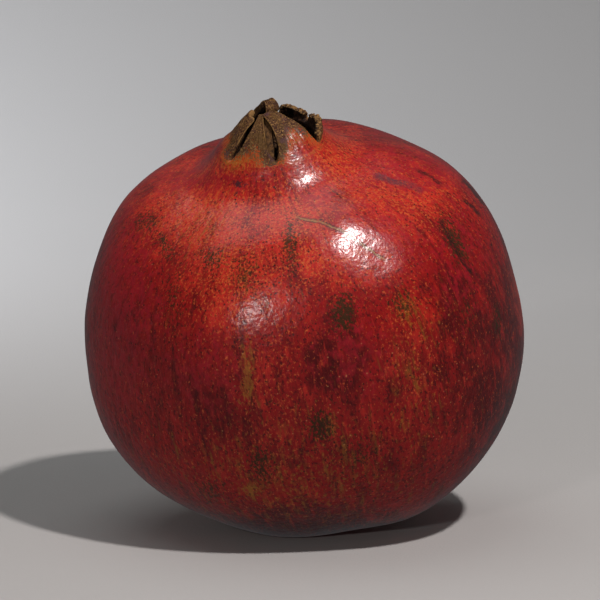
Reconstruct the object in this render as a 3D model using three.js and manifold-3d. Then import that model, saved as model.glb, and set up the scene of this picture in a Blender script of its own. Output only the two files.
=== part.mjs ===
// A whole ripe pomegranate, resting on a small flat spot with its crown leaning forward and to the left.
// The fruit grew as one piece, so it is one solid: the leathery body with its short stalk stump, the neck,
// the cup inside the crown, six dry sepals round the rim and the withered stamens that stand in the cup.
//
// Units are millimetres and degrees. In the finished part +Z is up and the front is the -Y side.
// The fruit is first shaped upright about its core, which is the local Z axis, with the middle of the
// body at the origin. It then leans over and is cut level where it rests.
// "Around" angles run about the core from the front, positive towards +X.

import * as THREE from "three";
import { mergeVertices } from "three/addons/utils/BufferGeometryUtils.js";
import Module from "manifold-3d";

const wasm = await Module();
wasm.setup();

// Body
const BELLY_RADIUS = 47.6; // half the width across the middle
// The outline is an oval whose two halves differ. Reach is from the middle to that end of the core, and
// fullness is the oval's exponent: 2 is a plain ellipse, and more is fuller at the shoulders.
const STALK_HALF = { reach: 46.2, fullness: 2.04 };
const CROWN_HALF = { reach: 43, fullness: 2.49 };
const RIDGE_COUNT = 6; // soft ridges from stalk to crown, one behind each sepal
const RIDGE_RISE = 0.45; // how far a ridge stands above the round
const LEAN_FORWARD = 20.3; // how the core leans when the fruit is at rest
const LEAN_LEFT = 10.4;
const FLAT_SPOT_DEPTH = 1.6; // how far the weight has pressed the spot that carries it

// Soft bulges of this fruit, placed as on a clock face by someone in front of it, and turned back from
// that face by so many degrees, or to the front where that is below zero. The last one fills the hidden
// lower back, over which the weight stands.
const BULGES = [
  { hour: 4.1, back: 0, rise: 3.2, spread: 40 },
  { hour: 7.9, back: 0, rise: 3.9, spread: 40 },
  { hour: 10.3, back: 0, rise: 2.3, spread: 15 },
  { hour: 0.1, back: -54, rise: 2.0, spread: 14 },
  { hour: 5.3, back: 34, rise: 3.0, spread: 34 },
];

// Stalk end
const DIMPLE_RADIUS = 9;
const DIMPLE_DEPTH = 1.6;
const STUMP_RADIUS = 2.6;
const STUMP_RISE = 1.9; // above the floor of the dimple

// Neck, rim and cup of the crown
const RIM_HEIGHT = 47.8; // above the middle of the body, where the slits between sepals end
const RIM_RADIUS = 11.9;
const RIM_THICKNESS = 1.9;
const NECK_FOOT_RADIUS = 21; // where the neck starts to rise from the body
const CUP_DEPTH = 6;
const CUP_FLOOR_RADIUS = 7.8;
const CROWN_TURN = 4.5; // of all six sepals about the core

// The six sepals. Each middle line starts at the rim and runs through places given as inwards and up from there.
// Shift moves the tip sideways and sway the middle, belly widens it halfway, and tipBend is the radius it is
// arched to. Top is how much of its length is left at places across it, and ragged is how uneven that edge is.
const WHOLE = [[-1, 1], [1, 1]];
const SEPALS = [
  {
    around: 30,
    middle: [[0, 0], [3.6, 4.2], [7.0, 6.4], [10.9, 7.6]],
    footWidth: 11.4, tipWidth: 1.5, tipBend: 4, shift: -0.3, sway: 0.7, belly: 0.5, top: WHOLE, ragged: 0,
  },
  {
    around: 90,
    middle: [[0, 0], [-0.2, 1.8], [-0.1, 4.0]],
    footWidth: 11.4, tipWidth: 11.6, tipBend: 11, shift: 0, sway: 0, belly: 0,
    top: [[-1, 0.45], [-0.6, 0.8], [0, 0.8], [0.6, 0.64], [1, 0.5]], ragged: 0.1,
  },
  {
    around: 149,
    middle: [[0, 0], [0.1, 1.8], [0.3, 3.8]],
    footWidth: 10, tipWidth: 10.4, tipBend: 11, shift: 0, sway: 0, belly: 0,
    top: [[-1, 0.55], [-0.5, 0.75], [0, 0.92], [0.3, 0.86], [0.42, 0.3], [1, 0.2]], ragged: 0.08,
  },
  {
    around: 199,
    middle: [[0, 0], [3.6, 3.9], [6.6, 6.9], [9.2, 8.5], [11.2, 7.8], [12.0, 6.0]],
    footWidth: 8, tipWidth: 3.2, tipBend: 2.2, shift: -2, sway: -1.9, belly: -1.4, top: WHOLE, ragged: 0.03,
  },
  {
    around: 261,
    middle: [[0, 0], [3.8, 3.4], [6.4, 6.0], [9.0, 8.0]],
    footWidth: 14.6, tipWidth: 5.2, tipBend: 2.7, shift: -0.2, sway: 0.8, belly: 0, top: WHOLE, ragged: 0.04,
  },
  {
    around: 330,
    middle: [[0, 0], [3.8, 3.8], [7.2, 6.3], [10.4, 7.6]],
    footWidth: 11.4, tipWidth: 0.9, tipBend: 4, shift: 0, sway: 0.4, belly: -0.4, top: WHOLE, ragged: 0,
  },
];
const SEPAL_NARROWING = 0.8; // below 1 a sepal narrows sooner, which opens the slits
const SEPAL_FOOT_THICKNESS = 1.7;
const SEPAL_TIP_THICKNESS = 1.3;
const SEPAL_ROOT = 1.6; // length of each sepal that is sunk in the rim

// Stamens, dry and shrunken, in rings on the floor of the cup
const STAMEN_RINGS = [
  { radius: 6.9, count: 16, length: 6.6 },
  { radius: 4.3, count: 10, length: 6.0 },
];
const STAMEN_THICKNESS = 0.9;
const STAMEN_ROOT = 1.5; // length that is sunk in the floor
const STYLE_RADIUS = 1.1;
const STYLE_LENGTH = 6.5;
const RANDOM_SEED = 7;

// How finely round shapes are divided
const AROUND_STEPS = 66;
const BODY_STEPS = 25;
const NECK_STEPS = 7;
const SEPAL_STEPS_ACROSS = 6;
const SEPAL_STEPS_ALONG = 8;
const STAMEN_SIDES = 3;

const radians = THREE.MathUtils.degToRad;

/** A repeatable stream of numbers from 0 to 1. */
function randomStream(seed) {
  let state = seed;
  return () => {
    state = (state * 16807) % 2147483647;
    return state / 2147483647;
  };
}

/** The closed solid of a three.js geometry, with the flat triangles at its poles left out. */
function solidOf(geometry) {
  const bare = new THREE.BufferGeometry().setAttribute("position", geometry.getAttribute("position"));
  bare.setIndex(geometry.index);
  const merged = mergeVertices(bare, 1e-4);
  const corners = merged.index.array;
  const kept = [];
  for (let i = 0; i < corners.length; i += 3) {
    const [a, b, c] = corners.slice(i, i + 3);
    if (a !== b && b !== c && c !== a) kept.push(a, b, c);
  }
  return new wasm.Manifold(
    new wasm.Mesh({
      numProp: 3,
      vertProperties: merged.getAttribute("position").array,
      triVerts: new Uint32Array(kept),
    }),
  );
}

/** The three.js geometry of a solid. */
function geometryOf(solid) {
  const mesh = solid.getMesh();
  const geometry = new THREE.BufferGeometry();
  geometry.setAttribute("position", new THREE.BufferAttribute(mesh.vertProperties, 3));
  geometry.setIndex(new THREE.BufferAttribute(mesh.triVerts, 1));
  geometry.computeVertexNormals();
  return geometry;
}

/** Moves every vertex of a geometry to where place(point) puts it. */
function reshape(geometry, place) {
  const position = geometry.getAttribute("position");
  const point = new THREE.Vector3();
  for (let i = 0; i < position.count; i += 1) {
    point.fromBufferAttribute(position, i);
    place(point);
    position.setXYZ(i, point.x, point.y, point.z);
  }
  return geometry;
}

/** How far from the middle one half of the plain body reaches, at a distance from the core. */
function reachAt(half, radius) {
  return half.reach * (1 - (radius / BELLY_RADIUS) ** half.fullness) ** (1 / half.fullness);
}

/** Places along the body's oval outline, from the stalk's dimple to the foot of the neck. */
function ovalOutline() {
  const angleAt = (half, radius) => Math.acos((radius / BELLY_RADIUS) ** (half.fullness / 2));
  const start = -angleAt(STALK_HALF, DIMPLE_RADIUS);
  const end = angleAt(CROWN_HALF, NECK_FOOT_RADIUS);
  const points = [];
  for (let i = 0; i <= BODY_STEPS; i += 1) {
    const angle = THREE.MathUtils.lerp(start, end, i / BODY_STEPS);
    const half = angle < 0 ? STALK_HALF : CROWN_HALF;
    const radius = BELLY_RADIUS * Math.cos(angle) ** (2 / half.fullness);
    points.push(new THREE.Vector2(radius, Math.sign(angle) * reachAt(half, radius)));
  }
  return points;
}

/** The outline from the stalk to the floor of the cup, as (distance from the core, height). */
function outline() {
  const points = [];
  const dimpleFloor = -STALK_HALF.reach + DIMPLE_DEPTH;
  const dimpleEdge = -reachAt(STALK_HALF, DIMPLE_RADIUS);
  points.push(new THREE.Vector2(0, dimpleFloor - STUMP_RISE));
  points.push(new THREE.Vector2(STUMP_RADIUS, dimpleFloor - STUMP_RISE + 0.3));
  const dimple = new THREE.CubicBezierCurve(
    new THREE.Vector2(STUMP_RADIUS + 0.3, dimpleFloor),
    new THREE.Vector2(STUMP_RADIUS + 2, dimpleFloor),
    new THREE.Vector2(DIMPLE_RADIUS - 3, dimpleEdge + 0.1),
    new THREE.Vector2(DIMPLE_RADIUS, dimpleEdge),
  );
  points.push(...dimple.getPoints(4));

  points.push(...ovalOutline().slice(1));

  const footHeight = reachAt(CROWN_HALF, NECK_FOOT_RADIUS);
  const footSlope = reachAt(CROWN_HALF, NECK_FOOT_RADIUS - 0.5) - reachAt(CROWN_HALF, NECK_FOOT_RADIUS + 0.5);
  const neck = new THREE.CubicBezierCurve(
    new THREE.Vector2(NECK_FOOT_RADIUS, footHeight),
    new THREE.Vector2(NECK_FOOT_RADIUS - 5, footHeight + 5 * footSlope),
    new THREE.Vector2(RIM_RADIUS + 1.8, RIM_HEIGHT - 1.9),
    new THREE.Vector2(RIM_RADIUS, RIM_HEIGHT),
  );
  points.push(...neck.getPoints(NECK_STEPS).slice(1));

  const cup = new THREE.CubicBezierCurve(
    new THREE.Vector2(RIM_RADIUS - RIM_THICKNESS, RIM_HEIGHT),
    new THREE.Vector2(RIM_RADIUS - RIM_THICKNESS, RIM_HEIGHT - CUP_DEPTH / 2),
    new THREE.Vector2(CUP_FLOOR_RADIUS + 1.5, RIM_HEIGHT - CUP_DEPTH),
    new THREE.Vector2(CUP_FLOOR_RADIUS, RIM_HEIGHT - CUP_DEPTH),
  );
  points.push(...cup.getPoints(4));
  points.push(new THREE.Vector2(0, RIM_HEIGHT - CUP_DEPTH));
  return points;
}

/** How the finished fruit leans, as a turn of the upright one. */
function restingLean() {
  const lean = new THREE.Euler(radians(LEAN_FORWARD), radians(-LEAN_LEFT), 0, "YXZ");
  return new THREE.Matrix4().makeRotationFromEuler(lean);
}

/** Unit directions of the bulges in the upright fruit's own frame. */
function bulgeDirections() {
  const upright = restingLean().invert();
  return BULGES.map(({ hour, back }) => {
    const angle = radians(90 - hour * 30);
    const inFace = Math.cos(radians(back));
    const direction = new THREE.Vector3(
      inFace * Math.cos(angle),
      Math.sin(radians(back)),
      inFace * Math.sin(angle),
    );
    return direction.transformDirection(upright);
  });
}

/** Swells the round body into this fruit's ridges and bulges, and leaves the stalk and the crown round. */
function swellBody(geometry) {
  const directions = bulgeDirections();
  const direction = new THREE.Vector3();
  return reshape(geometry, (point) => {
    direction.copy(point).normalize();
    const aroundAngle = Math.atan2(point.x, -point.y);
    const fromCore = Math.hypot(direction.x, direction.y);
    const fade = THREE.MathUtils.smoothstep(fromCore, 0.3, 0.6);
    const fromRidge = aroundAngle - radians(SEPALS[0].around + CROWN_TURN);
    let rise = RIDGE_RISE * Math.cos(RIDGE_COUNT * fromRidge) * fade;
    BULGES.forEach((bulge, i) => {
      const away = direction.angleTo(directions[i]) / radians(bulge.spread);
      rise += bulge.rise * Math.exp(-(away ** 2)) * fade;
    });
    point.addScaledVector(direction, rise);
  });
}

/** The body with its stalk stump, neck and cup, upright. */
function bodySolid() {
  const geometry = new THREE.LatheGeometry(outline(), AROUND_STEPS);
  geometry.rotateX(Math.PI / 2);
  return solidOf(swellBody(geometry));
}

/** How much of a broken sepal's length is left, at a place across it from -1 to 1. */
function brokenEdge(sepal, across) {
  const teeth = Math.sin(across * 4.1 + sepal.around) * 0.6 + Math.sin(across * 9.7 + 2 * sepal.around) * 0.4;
  const next = Math.max(sepal.top.findIndex(([place]) => place >= across), 1);
  const [[placeBefore, leftBefore], [placeAfter, leftAfter]] = sepal.top.slice(next - 1, next + 1);
  const left = THREE.MathUtils.mapLinear(across, placeBefore, placeAfter, leftBefore, leftAfter);
  return left - sepal.ragged * (0.5 - 0.5 * teeth);
}

/** One sepal: a curved plate that rises from the rim along its middle line and narrows to its tip. */
function sepalSolid(sepal) {
  const middleLine = new THREE.SplineCurve(sepal.middle.map((place) => new THREE.Vector2(...place)));
  const rootShare = SEPAL_ROOT / middleLine.getLength();
  const footDirection = middleLine.getTangentAt(0);
  const plate = new THREE.BoxGeometry(2, 1, 1, SEPAL_STEPS_ACROSS, 1, SEPAL_STEPS_ALONG);
  reshape(plate, (point) => {
    const across = point.x;
    const inwards = point.y + 0.5;
    const along = (point.z + 0.5) * (1 + rootShare) - rootShare;
    const share = Math.max(along, 0) * brokenEdge(sepal, across);
    const middle = middleLine.getPointAt(share);
    const direction = middleLine.getTangentAt(share);
    if (along < 0) middle.addScaledVector(footDirection, (along / rootShare) * SEPAL_ROOT);

    const thickness = THREE.MathUtils.lerp(SEPAL_FOOT_THICKNESS, SEPAL_TIP_THICKNESS, share);
    const sunk = along < 0 ? 0.35 : 0.05;
    const depth = sunk + inwards * (thickness - sunk);
    const halfway = 4 * share * (1 - share);
    const plainWidth = THREE.MathUtils.lerp(sepal.footWidth, sepal.tipWidth, share ** SEPAL_NARROWING);
    const halfWidth = plainWidth / 2 + sepal.belly * halfway;
    const bend = THREE.MathUtils.lerp(RIM_RADIUS, sepal.tipBend, share);
    const sideways = across * halfWidth * (1 - depth / bend);
    const sag = bend - Math.sqrt(Math.max(bend ** 2 - sideways ** 2, 0));

    // It bends level with the rim at its foot and square to itself at its tip.
    const bendTurn = Math.atan2(direction.x, direction.y) * share;
    const radius = RIM_RADIUS - middle.x - depth * direction.y - sag * Math.cos(bendTurn);
    const height = RIM_HEIGHT + middle.y - depth * direction.x - sag * Math.sin(bendTurn);
    point.set(sideways + sepal.shift * share ** 2 + sepal.sway * halfway, -radius, height);
  });
  plate.applyMatrix4(new THREE.Matrix4().makeRotationZ(radians(sepal.around + CROWN_TURN)));
  return solidOf(plate);
}

/** One rod that stands on the floor of the cup, thicker at its free end. */
function rodSolid(foot, direction, length, thickness, sides) {
  const rod = new THREE.CylinderGeometry(thickness / 2, thickness / 3, length + STAMEN_ROOT, sides, 1);
  rod.translate(0, (length - STAMEN_ROOT) / 2, 0);
  rod.applyQuaternion(new THREE.Quaternion().setFromUnitVectors(new THREE.Vector3(0, 1, 0), direction));
  rod.translate(foot.x, foot.y, foot.z);
  return solidOf(rod);
}

/** The withered stamens in their rings, and the stub of the style in the middle. */
function stamenSolids() {
  const random = randomStream(RANDOM_SEED);
  const floor = RIM_HEIGHT - CUP_DEPTH;
  const solids = [];
  STAMEN_RINGS.forEach((ring) => {
    for (let i = 0; i < ring.count; i += 1) {
      const angle = ((i + 0.6 * random()) / ring.count) * 2 * Math.PI;
      const foot = new THREE.Vector3(ring.radius * Math.sin(angle), -ring.radius * Math.cos(angle), floor);
      const inwardLean = 0.15 + 0.3 * random();
      const sideLean = 0.5 * (random() - 0.5);
      const direction = new THREE.Vector3(
        -inwardLean * Math.sin(angle) + sideLean * Math.cos(angle),
        inwardLean * Math.cos(angle) + sideLean * Math.sin(angle),
        1,
      ).normalize();
      const length = ring.length * (0.75 + 0.35 * random());
      solids.push(rodSolid(foot, direction, length, STAMEN_THICKNESS, STAMEN_SIDES));
    }
  });
  const middle = new THREE.Vector3(0, 0, floor);
  solids.push(rodSolid(middle, new THREE.Vector3(0, 0, 1), STYLE_LENGTH, 2 * STYLE_RADIUS, 6));
  return solids;
}

/** The leaning fruit, cut level at height 0, with the middle of its outer box over the origin. */
function restingFruit(upright) {
  const geometry = geometryOf(upright);
  geometry.applyMatrix4(restingLean());
  geometry.computeBoundingBox();
  geometry.translate(0, 0, -geometry.boundingBox.min.z - FLAT_SPOT_DEPTH);
  const below = new THREE.BoxGeometry(4 * BELLY_RADIUS, 4 * BELLY_RADIUS, BELLY_RADIUS);
  below.translate(0, 0, -BELLY_RADIUS / 2);
  const rested = geometryOf(solidOf(geometry).subtract(solidOf(below)));
  rested.computeBoundingBox();
  const middle = rested.boundingBox.getCenter(new THREE.Vector3());
  rested.translate(-middle.x, -middle.y, 0);
  return rested;
}

const solids = [bodySolid(), ...SEPALS.map(sepalSolid), ...stamenSolids()];
const upright = solids.reduce((whole, piece) => whole.add(piece));

const rind = new THREE.MeshStandardMaterial({ color: "#a3211c", roughness: 0.38, metalness: 0 });
const pomegranate = new THREE.Mesh(restingFruit(upright), rind);
pomegranate.name = "pomegranate";

const part = new THREE.Group();
part.add(pomegranate);

export default part;
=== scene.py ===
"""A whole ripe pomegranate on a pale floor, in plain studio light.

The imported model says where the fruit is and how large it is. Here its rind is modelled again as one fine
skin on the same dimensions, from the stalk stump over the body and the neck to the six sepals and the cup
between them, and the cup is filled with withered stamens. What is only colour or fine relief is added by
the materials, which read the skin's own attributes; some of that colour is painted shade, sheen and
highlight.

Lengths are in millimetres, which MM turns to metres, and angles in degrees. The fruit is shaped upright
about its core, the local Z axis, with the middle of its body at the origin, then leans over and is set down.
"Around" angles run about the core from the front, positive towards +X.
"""

import logging
import math
from dataclasses import dataclass, replace
from enum import Enum

import bmesh
import bpy
import numpy as np
from mathutils import Euler, Matrix, Vector, noise


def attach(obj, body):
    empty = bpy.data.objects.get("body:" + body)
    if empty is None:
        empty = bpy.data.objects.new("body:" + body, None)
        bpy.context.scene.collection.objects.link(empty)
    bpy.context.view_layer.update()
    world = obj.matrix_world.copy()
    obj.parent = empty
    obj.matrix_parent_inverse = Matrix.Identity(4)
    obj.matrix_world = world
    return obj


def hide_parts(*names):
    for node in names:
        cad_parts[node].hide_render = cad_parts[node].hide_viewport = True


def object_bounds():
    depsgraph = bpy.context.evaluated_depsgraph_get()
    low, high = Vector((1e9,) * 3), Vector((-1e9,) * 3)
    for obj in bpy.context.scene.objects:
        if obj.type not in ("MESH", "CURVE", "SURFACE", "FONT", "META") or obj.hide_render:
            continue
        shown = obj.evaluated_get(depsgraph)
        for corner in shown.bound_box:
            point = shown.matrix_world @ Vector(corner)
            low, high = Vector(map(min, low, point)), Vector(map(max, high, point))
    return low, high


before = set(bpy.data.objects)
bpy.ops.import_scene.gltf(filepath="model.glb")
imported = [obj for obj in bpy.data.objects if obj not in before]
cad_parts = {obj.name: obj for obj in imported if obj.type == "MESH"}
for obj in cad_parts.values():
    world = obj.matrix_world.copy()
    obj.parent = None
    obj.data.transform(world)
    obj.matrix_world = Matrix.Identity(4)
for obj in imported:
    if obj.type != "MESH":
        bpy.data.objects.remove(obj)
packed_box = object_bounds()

MM = 0.001
NODE = "pomegranate"
BODY = "root"

Socket = bpy.types.NodeSocket
Tree = bpy.types.NodeTree

log = logging.getLogger("pomegranate")


# Small helpers


def linear(hex_colour: str) -> tuple[float, float, float, float]:
    """Turns an sRGB hex colour into the linear colour that a shader takes.

    Args:
        hex_colour: the colour as "#rrggbb".

    Returns:
        Linear red, green and blue, and an alpha of 1.
    """
    channels = [int(hex_colour[i : i + 2], 16) / 255 for i in (1, 3, 5)]
    lit = [c / 12.92 if c <= 0.04045 else ((c + 0.055) / 1.055) ** 2.4 for c in channels]
    return (*lit, 1.0)


def add_node(
    tree: Tree, kind: str, inputs: dict[str | int, object] | None = None, **settings: object
) -> bpy.types.Node:
    """Adds a node to a tree, with its settings and its links.

    Args:
        tree: the node tree.
        kind: the node's type name.
        inputs: a value, or the output socket to link, for each input name or number.
        **settings: properties of the node.

    Returns:
        The new node.
    """
    node = tree.nodes.new(kind)
    for name, value in settings.items():
        setattr(node, name, value)
    for key, value in (inputs or {}).items():
        if isinstance(value, Socket):
            tree.links.new(value, node.inputs[key])
        else:
            node.inputs[key].default_value = value
    return node


def new_material(name: str) -> tuple[bpy.types.Material, Tree]:
    """Makes an empty node material.

    Args:
        name: the material's name.

    Returns:
        The material and its node tree.
    """
    material = bpy.data.materials.new(name)
    material.use_nodes = True
    material.node_tree.nodes.clear()
    return material, material.node_tree


def smooth_step(value: np.ndarray, low: float, high: float) -> np.ndarray:
    """Rises smoothly from 0 at low to 1 at high."""
    share = np.clip((value - low) / (high - low), 0.0, 1.0)
    return share * share * (3.0 - 2.0 * share)


def bezier(corners: list[tuple[float, float]], steps: int) -> list[tuple[float, float]]:
    """Places along a cubic Bezier curve, without its first.

    Args:
        corners: the curve's four control points.
        steps: how many places to return.

    Returns:
        The places, the last of which is the curve's end.
    """
    a, b, c, d = (np.array(corner) for corner in corners)
    places = []
    for i in range(1, steps + 1):
        t = i / steps
        place = (1 - t) ** 3 * a + 3 * (1 - t) ** 2 * t * b + 3 * (1 - t) * t**2 * c + t**3 * d
        places.append((float(place[0]), float(place[1])))
    return places


def turned(x: np.ndarray, y: np.ndarray, angle: np.ndarray | float) -> tuple[np.ndarray, np.ndarray]:
    """Turns places about the core by an angle in radians."""
    return x * np.cos(angle) - y * np.sin(angle), x * np.sin(angle) + y * np.cos(angle)


def mesh_points(mesh: bpy.types.Mesh) -> np.ndarray:
    """Reads where the vertices are.

    Args:
        mesh: the mesh.

    Returns:
        Rows of x, y and z.
    """
    values = np.empty(len(mesh.vertices) * 3)
    mesh.vertices.foreach_get("co", values)
    return values.reshape(-1, 3)


def set_mesh_points(mesh: bpy.types.Mesh, points: np.ndarray) -> None:
    """Moves the mesh's vertices to the given rows of x, y and z."""
    mesh.vertices.foreach_set("co", points.ravel())
    mesh.update()


def mesh_normals(mesh: bpy.types.Mesh) -> np.ndarray:
    """Reads which way the skin faces at each vertex.

    Args:
        mesh: the mesh.

    Returns:
        Rows of x, y and z, each of length 1.
    """
    values = np.empty(len(mesh.vertices) * 3)
    mesh.vertex_normals.foreach_get("vector", values)
    return values.reshape(-1, 3)


def read_attribute(mesh: bpy.types.Mesh, name: str) -> np.ndarray:
    """Reads an attribute.

    Args:
        mesh: the mesh.
        name: the attribute's name.

    Returns:
        One number for each vertex.
    """
    values = np.empty(len(mesh.vertices))
    mesh.attributes[name].data.foreach_get("value", values)
    return values


def write_attribute(mesh: bpy.types.Mesh, name: str, values: np.ndarray) -> None:
    """Keeps one number for each vertex as an attribute that a material can read."""
    layer = mesh.attributes.get(name) or mesh.attributes.new(name, "FLOAT", "POINT")
    layer.data.foreach_set("value", values.astype(np.float32))


def noise_at(points: np.ndarray, size: float, seed: float) -> np.ndarray:
    """Smooth noise from about -1 to 1.

    Args:
        points: rows of x, y and z.
        size: the width of one swell, in the unit of the points.
        seed: a shift that gives another pattern.

    Returns:
        One number for each point.
    """
    shift = Vector((seed, 1.7 * seed, -0.6 * seed))
    return np.array([noise.noise(Vector(p) / size + shift) for p in points])


@dataclass(frozen=True)
class Unevenness:
    """Soft swells of a skin: how wide they are, how high they rise, and which pattern they have."""

    size: float
    rise: float
    seed: float

    def at(self, points: np.ndarray) -> np.ndarray:
        """How far the skin rises at rows of x, y and z."""
        return noise_at(points, self.size, self.seed) * self.rise


def only(thing: bpy.types.Object) -> None:
    """Makes one object the only selected and the active one.

    Args:
        thing: the object.
    """
    bpy.ops.object.select_all(action="DESELECT")
    thing.select_set(True)
    bpy.context.view_layer.objects.active = thing


def face_outwards() -> None:
    """Turns every face of the mesh in edit mode outwards, and leaves edit mode."""
    bpy.ops.mesh.select_all(action="SELECT")
    bpy.ops.mesh.normals_make_consistent(inside=False)
    bpy.ops.object.mode_set(mode="OBJECT")


def extrude_rings(sides: int, rings: list[tuple[float, float, float]]) -> bpy.types.Object:
    """Extrudes a small closed circle ring by ring, and closes the last one.

    Args:
        sides: how many corners a ring has.
        rings: each ring as (radius, aside, up).

    Returns:
        The new object, whose faces point outwards.
    """
    radius, aside, up = rings[0]
    bpy.ops.object.select_all(action="DESELECT")
    bpy.ops.mesh.primitive_circle_add(
        vertices=sides, radius=radius, fill_type="TRIFAN", location=(aside, 0, up)
    )
    piece = bpy.context.active_object
    bpy.ops.object.transform_apply(location=True, rotation=True, scale=True)
    bpy.ops.object.mode_set(mode="EDIT")
    bpy.ops.mesh.select_mode(type="EDGE")
    bpy.ops.mesh.select_all(action="DESELECT")
    bpy.ops.mesh.select_non_manifold(use_wire=False, use_boundary=True, use_multi_face=False, use_verts=False)
    for next_radius, next_aside, next_up in rings[1:]:
        step = (next_aside - aside, 0, next_up - up)
        bpy.ops.mesh.extrude_edges_move(TRANSFORM_OT_translate={"value": step})
        scale = next_radius / radius
        bpy.ops.transform.resize(value=(scale, scale, 1), center_override=(next_aside, 0, next_up))
        radius, aside, up = next_radius, next_aside, next_up
    bpy.ops.mesh.extrude_edges_move(TRANSFORM_OT_translate={"value": (0, 0, 0)})
    bpy.ops.mesh.merge(type="CENTER")
    face_outwards()
    return piece


def finish_piece(piece: bpy.types.Object, name: str, material: bpy.types.Material) -> bpy.types.Object:
    """Names a piece, gives it its one finish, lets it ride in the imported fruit's place and reports it.

    Args:
        piece: the modelled piece.
        name: its name.
        material: its finish.

    Returns:
        The finished piece.
    """
    piece.name = name
    piece.data.materials.clear()
    piece.data.materials.append(material)
    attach(piece, BODY)
    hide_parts(NODE)
    log.info("%s: %d faces", piece.name, len(piece.data.polygons))
    return piece


# The fruit's form


@dataclass(frozen=True)
class OvalHalf:
    """One half of the body's outline: how far it reaches, and how full its shoulder is."""

    reach: float
    fullness: float


@dataclass(frozen=True)
class Bulge:
    """A soft bulge, placed as on a clock face by someone in front of the fruit and turned back from there.

    A turn below zero brings it to the front.
    """

    hour: float
    back: float
    rise: float
    spread: float


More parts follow.
